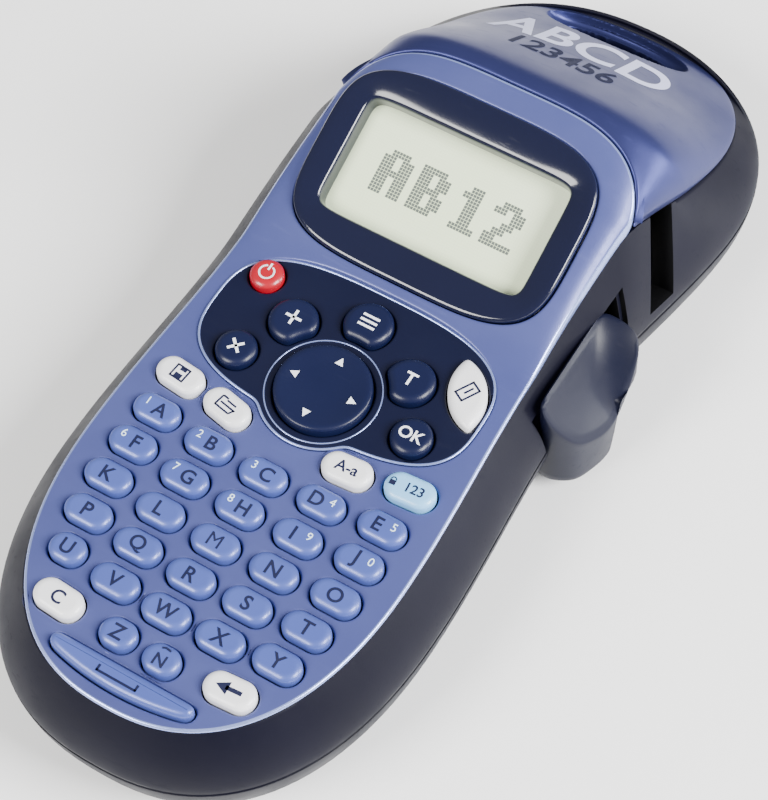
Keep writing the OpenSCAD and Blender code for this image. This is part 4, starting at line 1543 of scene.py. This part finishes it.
@dataclass
class ControlPanel:
    """Dark pillow with a lobe round the navigation pad, its rim bead and the pad's ring, both painted
    light as highlights.
    """

    form: Form
    keys: list[Key]
    a: float = 31.0
    b: float = 17.0
    y: float = -10.5
    power: float = 3.0
    proud: float = 0.4
    inlay: float = 0.8
    ring_r: float = 11.9

    def outline(self) -> np.ndarray:
        """Union of a superellipse and the lobe's circle."""

        def inside(x: np.ndarray, y: np.ndarray) -> np.ndarray:
            pillow = np.abs(x / self.a) ** self.power + np.abs((y - self.y) / self.b) ** self.power
            return (pillow < 1.0) | (np.hypot(x, y - KEYS.pad_y) < KEYS.lobe_r)

        return smooth_loop(star_outline(inside, (0.0, -14.0), 60.0, 260), 6)

    def build(self) -> None:
        """Build the panel, its rim and the ring."""
        top = self.form.face_z + self.proud
        loop = self.outline()
        skin = Skin()
        steps = [(0.0, -self.inlay - self.proud), (0.0, -0.3), (0.1, -0.1), (0.3, 0.0), (0.6, 0.0)]
        rings = [at_height(offset_loop(loop, -d), top + h) for d, h in steps]
        skin.grid(np.array(rings))
        holes = []
        for key in self.keys:
            if key.on_panel():
                edge = offset_loop(key.plan(), KEYS.gap)
                well = [(0.0, -1.6), (0.0, -0.35), (0.12, -0.1), (0.3, 0.0), (0.5, 0.0)]
                ring = [at_height(offset_loop(edge, d), top + h) for d, h in well]
                skin.grid(np.array(ring))
                holes.append(ring[-1][:, :2])
        skin.fill(rings[-1][:, :2], holes, lambda x, y: np.full_like(x, top), 3.0)
        piece = skin.build("control_panel_skin", [NAVY_PANEL], "body", Slot.PANEL_NAVY, 40.0)
        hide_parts("control_panel")
        self.bead("panel_rim_highlight", loop, 0.28, top - 0.12, 0.3)
        angle = np.linspace(0.0, 2 * np.pi, 160, endpoint=False)
        circle = np.stack([np.cos(angle), np.sin(angle)], axis=-1) * self.ring_r + [0.0, KEYS.pad_y]
        self.bead("pad_ring_highlight", circle, 0.16, top, 0.12)

    def bead(self, name: str, loop: np.ndarray, half: float, base: float, rise: float) -> None:
        """Half-round bead carried along a loop, in the rim finish whose light blue is a painted
        highlight.
        """
        turn = np.linspace(0.0, np.pi, 9)
        rows = [
            at_height(offset_loop(loop, half * math.cos(a)), base + rise * math.sin(a)) for a in turn
        ]
        skin = Skin()
        skin.grid(np.array(rows + [at_height(loop, base - 0.2)] + rows[:1]))
        skin.build(name, [RIM_HIGHLIGHT], "body", Slot.FACE_BLUE, 60.0)


@dataclass
class Display:
    """Glossy bezel on the slope and the dots on the liquid crystal panel."""

    form: Form
    w: float = 60.0
    l: float = 41.5
    power: float = 4.0
    y: float = 28.4
    window_w: float = 47.4
    window_l: float = 25.4
    window_power: float = 14.0
    depth: float = 4.2
    dot: float = 0.66
    dot_pitch: float = 1.419
    dot_share: float = 0.45
    dot_lift: float = 0.04
    advance: float = 6.2
    text: str = "AB12"

    def tilt(self, points: np.ndarray) -> np.ndarray:
        """Points of the bezel's own plane, turned and lifted onto the slope."""
        form = self.form
        z = form.face_z + (self.y - form.ramp_y) * math.tan(form.tilt)
        c, s = math.cos(form.tilt), math.sin(form.tilt)
        turn = np.array([[1, 0, 0], [0, c, s], [0, -s, c]])
        return np.asarray(points) @ turn + [0.0, self.y, z]

    def loop(self, w: float, l: float, power: float, count: int = 200) -> np.ndarray:
        """Even superellipse about the bezel's middle."""
        angle = np.linspace(0.0, 2 * np.pi, 4000, endpoint=False)
        return resample(superellipse(w / 2, l / 2, power, angle), count)

    def seen_from_above(self) -> np.ndarray:
        """Plan of the bezel on the frame's floor."""
        return self.tilt(at_height(self.loop(self.w, self.l, self.power), 0.0))[:, :2]

    def build(self) -> None:
        """Build the bezel and the dots."""
        outer = self.loop(self.w, self.l, self.power)
        window = self.loop(self.window_w, self.window_l, self.window_power)
        steps = [
            (0.0, -1.6), (0.0, 0.35), (0.012, 0.72), (0.05, 1.0), (0.12, 1.12), (0.3, 1.05),
            (0.6, 0.72), (0.84, 0.42), (0.92, 0.26), (0.965, -0.1), (0.99, -0.7), (1.0, -self.depth),
        ]
        rings = [at_height(lerp(outer, window, share), h) for share, h in steps]
        skin = Skin()
        skin.grid(self.tilt(np.array(rings)))
        piece = skin.build("bezel_skin", [BEZEL], "body", Slot.BEZEL_GLOSS, 55.0, 0.0, False)
        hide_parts("display_bezel")
        self.write_dots()

    def write_dots(self) -> None:
        """Square dots, four to a cell, that spell generic characters."""
        glyphs = {
            "A": ("01110", "11011", "11011", "11111", "11011", "11011", "11011"),
            "B": ("11110", "11011", "11011", "11110", "11011", "11011", "11110"),
            "1": ("00110", "01110", "00110", "00110", "00110", "00110", "01111"),
            "2": ("01110", "11011", "00011", "00110", "01100", "11000", "11111"),
        }
        cells = []
        for number, letter in enumerate(self.text):
            for row, line in enumerate(glyphs[letter]):
                for column, on in enumerate(line):
                    if on == "1":
                        cells.append((number * self.advance + column, -row))
        quarters = np.array([[i, j] for i in (0, 1) for j in (0, 1)]) * 0.5
        at = (np.array(cells, float)[:, None, :] + quarters[None]).reshape(-1, 2) * self.dot_pitch
        at = at - (at.min(axis=0) + at.max(axis=0)) / 2
        square = np.array([[-1, -1], [1, -1], [1, 1], [-1, 1]]) * self.dot * self.dot_share
        flat = (at[:, None, :] + square[None]).reshape(-1, 2)
        points = self.tilt(at_height(flat, -self.depth + self.dot_lift))
        skin = Skin()
        skin.add(points, np.arange(len(points)).reshape(-1, 4).tolist())
        skin.build("display_dots", [DOTS], "body", Slot.LCD, 40.0, 0.0, False)


# ---------------------------------------------------------------- cover


@dataclass
class Cover:
    """Domed cassette cover with its finger scoop and slot."""

    form: Form
    gap: float = 0.45
    rows: int = 170
    columns: int = 190
    scoop_x: float = 5.0
    scoop_y: float = 95.0
    scoop_a: float = 17.5
    scoop_b: float = 5.8
    scoop_depth: float = 3.6
    slot_a: float = 13.0
    slot_b: float = 2.2
    slot_y: float = 95.9
    slot_depth: float = 3.0
    slot_lip: float = 0.16
    roll_in: float = 0.008
    roll_drop: float = 0.3
    edge_drop: float = 1.6
    even_by: float = 0.3
    wall: float = 1.7
    ink_lift: float = 0.06
    longest_edge: float = 1.1

    def build(self) -> None:
        """Build the dome from the seam to the nose.

        Each column starts on the seam and runs to the nose; each point's height is the body's
        skin, less the scoop, which is a half ellipsoid with a soft lip.
        """
        form = self.form
        front = form.seam(self.gap, self.columns)
        side = (front[:, 0] - form.mid_x(front[:, 1])) / form.face_half(front[:, 1])
        side = np.clip(side / np.abs(side[[0, -1]]).min(), -1.0, 1.0)
        even = np.sin(np.linspace(1.0, -1.0, self.columns) * np.pi / 2)
        v = np.linspace(0.0, 1.0, self.rows)[:, None]
        y = front[None, :, 1] + (form.rim_tip - front[None, :, 1]) * np.sin(v * np.pi / 2)
        t = lerp(side[None, :], even[None, :], ease(v / self.even_by))
        x = form.mid_x(y) + t * form.face_half(y)
        z = form.skin_z(x, y)
        r = np.hypot((x - self.scoop_x) / self.scoop_a, (y - self.scoop_y) / self.scoop_b)
        scoop = np.sqrt(np.clip(1.0 - r**2, 0.0, 1.0))
        # The slot is a shallow dent. Its mask also goes to the shade attribute, which paints it black
        # as the shade of the hole it stands for.
        into = np.hypot((x - self.scoop_x) / self.slot_a, (y - self.slot_y) / self.slot_b)
        slot = ease((1.0 - into) / self.slot_lip)
        z = z - self.scoop_depth * ease(scoop * 1.3) - self.slot_depth * slot
        dome = np.stack([x, y, z], axis=-1)
        inner = lerp(front, np.array([[form.seam_x, form.seam_y]]), self.roll_in)
        first = dome[0]
        fade = 1.0 - side**10
        roll = at_height(inner, first[:, 2] - self.roll_drop * fade)
        down = at_height(inner, first[:, 2] - self.edge_drop * fade)
        skin = Skin()
        skin.grid(np.array([down, roll, first]), closed=False)
        skin.grid(dome, closed=False, shade=slot)
        piece = skin.build(
            "cover_skin", [COVER], "cassette_cover", Slot.COVER_BLUE, 60.0, self.wall
        )
        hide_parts("cassette_cover")
        self.write("ABCD", 15.5, (3.0, 82.0), LAVENDER_INK, "cover_mark_large")
        self.write("123456", 8.6, (4.2, 71.5), GRAPHITE_INK, "cover_mark_small")

    def write(
        self, text: str, size: float, centre: tuple[float, float], ink: Finish, name: str
    ) -> None:
        """Lay a text over the dome, its faces split finely enough to follow it."""
        points, faces = lettering(text, size, COVER_STROKE)
        work = bmesh.new()
        mesh = bpy.data.meshes.new(name)
        mesh.from_pydata(points.tolist(), [], faces)
        work.from_mesh(mesh)
        for _ in range(3):
            long = [e for e in work.edges if e.calc_length() > self.longest_edge]
            bmesh.ops.subdivide_edges(work, edges=long, cuts=1)
            bmesh.ops.triangulate(work, faces=work.faces)
        work.to_mesh(mesh)
        work.free()
        flat = np.array([tuple(v.co) for v in mesh.vertices])[:, :2]
        faces = [tuple(p.vertices) for p in mesh.polygons]
        bpy.data.meshes.remove(mesh)
        x, y = flat[:, 0] + centre[0], flat[:, 1] + centre[1]
        z = self.form.skin_z(x, y) + self.ink_lift
        skin = Skin()
        skin.add(np.stack([x, y, z], axis=-1), faces)
        skin.build(name, [ink], "cassette_cover", Slot.COVER_BLUE, 60.0, 0.0, False)


@dataclass
class CutterLever:
    """Thumb lever at the side: a hollowed pad over a lower block."""

    inner_x: float = 38.0
    outer_x: float = 49.4
    near_y: float = -0.5
    far_y: float = 26.8
    block_end: float = 13.5
    pad_z: float = 31.0
    pad_drop: float = 13.5
    under_z: float = 19.5
    low_z: float = 4.0
    soft: float = 0.9

    def outline(self) -> np.ndarray:
        """Rounded plan whose near outer corner is cut away."""
        x0, x1, y0, y1 = self.inner_x, self.outer_x, self.near_y, self.far_y
        corners = np.array(
            [
                (x0, y0), (x0 + 4.0, y0), (x1 - 2.6, y0 + 2.6), (x1, y0 + 10.0),
                (x1, y1 - 6.0), (x1 - 1.2, y1 - 1.5), (x1 - 4.5, y1), (x0, y1),
            ]
        )
        return smooth_loop(resample(corners, 132), 26)

    def top_z(self, plan: np.ndarray) -> np.ndarray:
        """Pad surface: high along the body and at the far end, falling to the near outer lip."""
        out = np.clip((plan[:, 0] - self.inner_x - 1.0) / (self.outer_x - self.inner_x - 1.0), 0, 1)
        along = (plan[:, 1] - self.near_y) / (self.far_y - self.near_y)
        near = 1.0 - ease((along - 0.46) / 0.56)
        return self.pad_z - self.pad_drop * out**0.85 * near - 1.2 * out

    def low(self, plan: np.ndarray) -> np.ndarray:
        """Underside: down to the block at the near end, and up under the pad at the far end."""
        return lerp(self.low_z, self.under_z, ease((plan[:, 1] - self.block_end + 2.0) / 4.0))

    def build(self) -> None:
        """Rings from the middle of the underside, up the wall and to the middle of the pad."""
        plan = self.outline()
        middle = plan.mean(axis=0)
        rows = []
        for share in (0.06, 0.3, 0.55, 0.8, 0.93):
            ring = middle + (plan - middle) * share
            rows.append(at_height(ring, self.low(ring)))
        low, high = self.low(plan), self.top_z(plan)
        rows.append(at_height(offset_loop(plan, -0.35 * self.soft), low + 0.1))
        for share in np.linspace(0.0, 1.0, 14):
            rows.append(at_height(plan, lerp(low + self.soft, high - self.soft, share)))
        rows.append(at_height(offset_loop(plan, -0.12 * self.soft), high - 0.45 * self.soft))
        rows.append(at_height(offset_loop(plan, -0.5 * self.soft), high - 0.1 * self.soft))
        for share in (0.9, 0.8, 0.68, 0.55, 0.42, 0.3, 0.18, 0.06):
            ring = middle + (plan - middle) * share
            rows.append(at_height(ring, self.top_z(ring) - 0.9 * (1.0 - share**2)))
        skin = Skin()
        skin.grid(np.array(rows))
        skin.cap(rows[0][::-1])
        skin.cap(rows[-1])
        piece = skin.build("cutter_lever_skin", [LEVER], "cutter_lever", Slot.LEVER_NAVY, 60.0)
        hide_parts("cutter_lever")


@dataclass
class Insides:
    """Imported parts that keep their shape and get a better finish."""

    finishes: dict[str, Finish] = field(
        default_factory=lambda: {
            "lcd_panel": LCD,
            "circuit_board": BOARD,
            "keypad_mat": RUBBER,
            "cutter_blade": STEEL,
            "print_head": CERAMIC,
            "platen_roller": RUBBER,
            "drive_motor": STEEL,
            "label_cassette": CASSETTE,
            "batteries": WRAP,
            "screws": STEEL,
        }
    )

    def dress(self) -> None:
        """Give each part its finish."""
        for name, finish in self.finishes.items():
            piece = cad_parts[name]
            if not piece.material_slots:
                piece.data.materials.append(finish.material())
            for slot in piece.material_slots:
                slot.material = finish.material()
            log.info("%s: dressed with %s", name, finish.name)


@dataclass
class Studio:
    """Pale floor, soft lights and the camera."""

    camera_at: tuple[float, float, float] = (0.1525, -0.2230, 0.4597)
    right: tuple[float, float, float] = (0.8555, 0.5169, -0.0303)
    up: tuple[float, float, float] = (-0.4327, 0.7458, 0.5065)
    back: tuple[float, float, float] = (0.2844, -0.4202, 0.8617)
    lens: float = 112.5
    sensor: float = 36.0
    floor_half: float = 3.0
    floor_drop: float = 0.0004
    sky: float = 0.4

    def camera(self) -> None:
        """Place the camera."""
        data = bpy.data.cameras.new("camera")
        data.lens = self.lens
        data.sensor_width = self.sensor
        data.clip_start = 0.01
        camera = bpy.data.objects.new("camera", data)
        columns = Matrix((self.right, self.up, self.back)).transposed().to_4x4()
        camera.matrix_world = Matrix.Translation(self.camera_at) @ columns
        bpy.context.scene.collection.objects.link(camera)
        bpy.context.scene.camera = camera

    def light(self, name: str, at: Sequence[float], size: float, power: float, tint: Colour) -> None:
        """Square soft light that faces the object."""
        data = bpy.data.lights.new(name, "AREA")
        data.size = size
        data.energy = power
        data.color = tint
        lamp = bpy.data.objects.new(name, data)
        lamp.location = at
        aim = Vector((0.0, 0.0, 0.02)) - Vector(at)
        lamp.rotation_euler = aim.to_track_quat("-Z", "Y").to_euler()
        bpy.context.scene.collection.objects.link(lamp)

    def floor(self) -> None:
        """Pale floor just below the part."""
        h = self.floor_half
        mesh = bpy.data.meshes.new("floor")
        z = -self.floor_drop
        mesh.from_pydata([(-h, -h, z), (h, -h, z), (h, h, z), (-h, h, z)], [], [(0, 1, 2, 3)])
        mesh.materials.append(PAPER.material())
        floor = bpy.data.objects.new("floor", mesh)
        bpy.context.scene.collection.objects.link(floor)

    def build(self) -> None:
        """Set up the studio."""
        self.camera()
        self.floor()
        world = bpy.data.worlds.new("studio")
        world.use_nodes = True
        background = world.node_tree.nodes["Background"]
        background.inputs[0].default_value = (1.0, 1.0, 1.0, 1.0)
        background.inputs[1].default_value = self.sky
        bpy.context.scene.world = world
        self.light("key_light", (0.80, 0.05, 0.70), 0.45, 26.0, (1.0, 1.0, 1.0))
        self.light("front_light", (-0.35, -0.75, 0.75), 0.5, 18.0, (1.0, 0.99, 0.97))
        self.light("rim_light", (0.95, 0.55, 0.30), 0.3, 9.0, (0.95, 0.97, 1.0))


def main() -> None:
    """Build the pieces in order."""
    logging.basicConfig(level=logging.INFO, format="%(name)s: %(message)s")
    keys = letter_keys() + other_keys()
    Studio().build()
    Insides().dress()
    panel = ControlPanel(FORM, keys)
    display = Display(FORM)
    RearShell(FORM).build()
    SideShell(FORM).build()
    FacePlate(FORM, keys).build(panel.outline(), display.seen_from_above())
    panel.build()
    display.build()
    Cover(FORM).build()
    CutterLever().build()
    Keypad(FORM, keys).build()


if __name__ == "__main__":
    main()
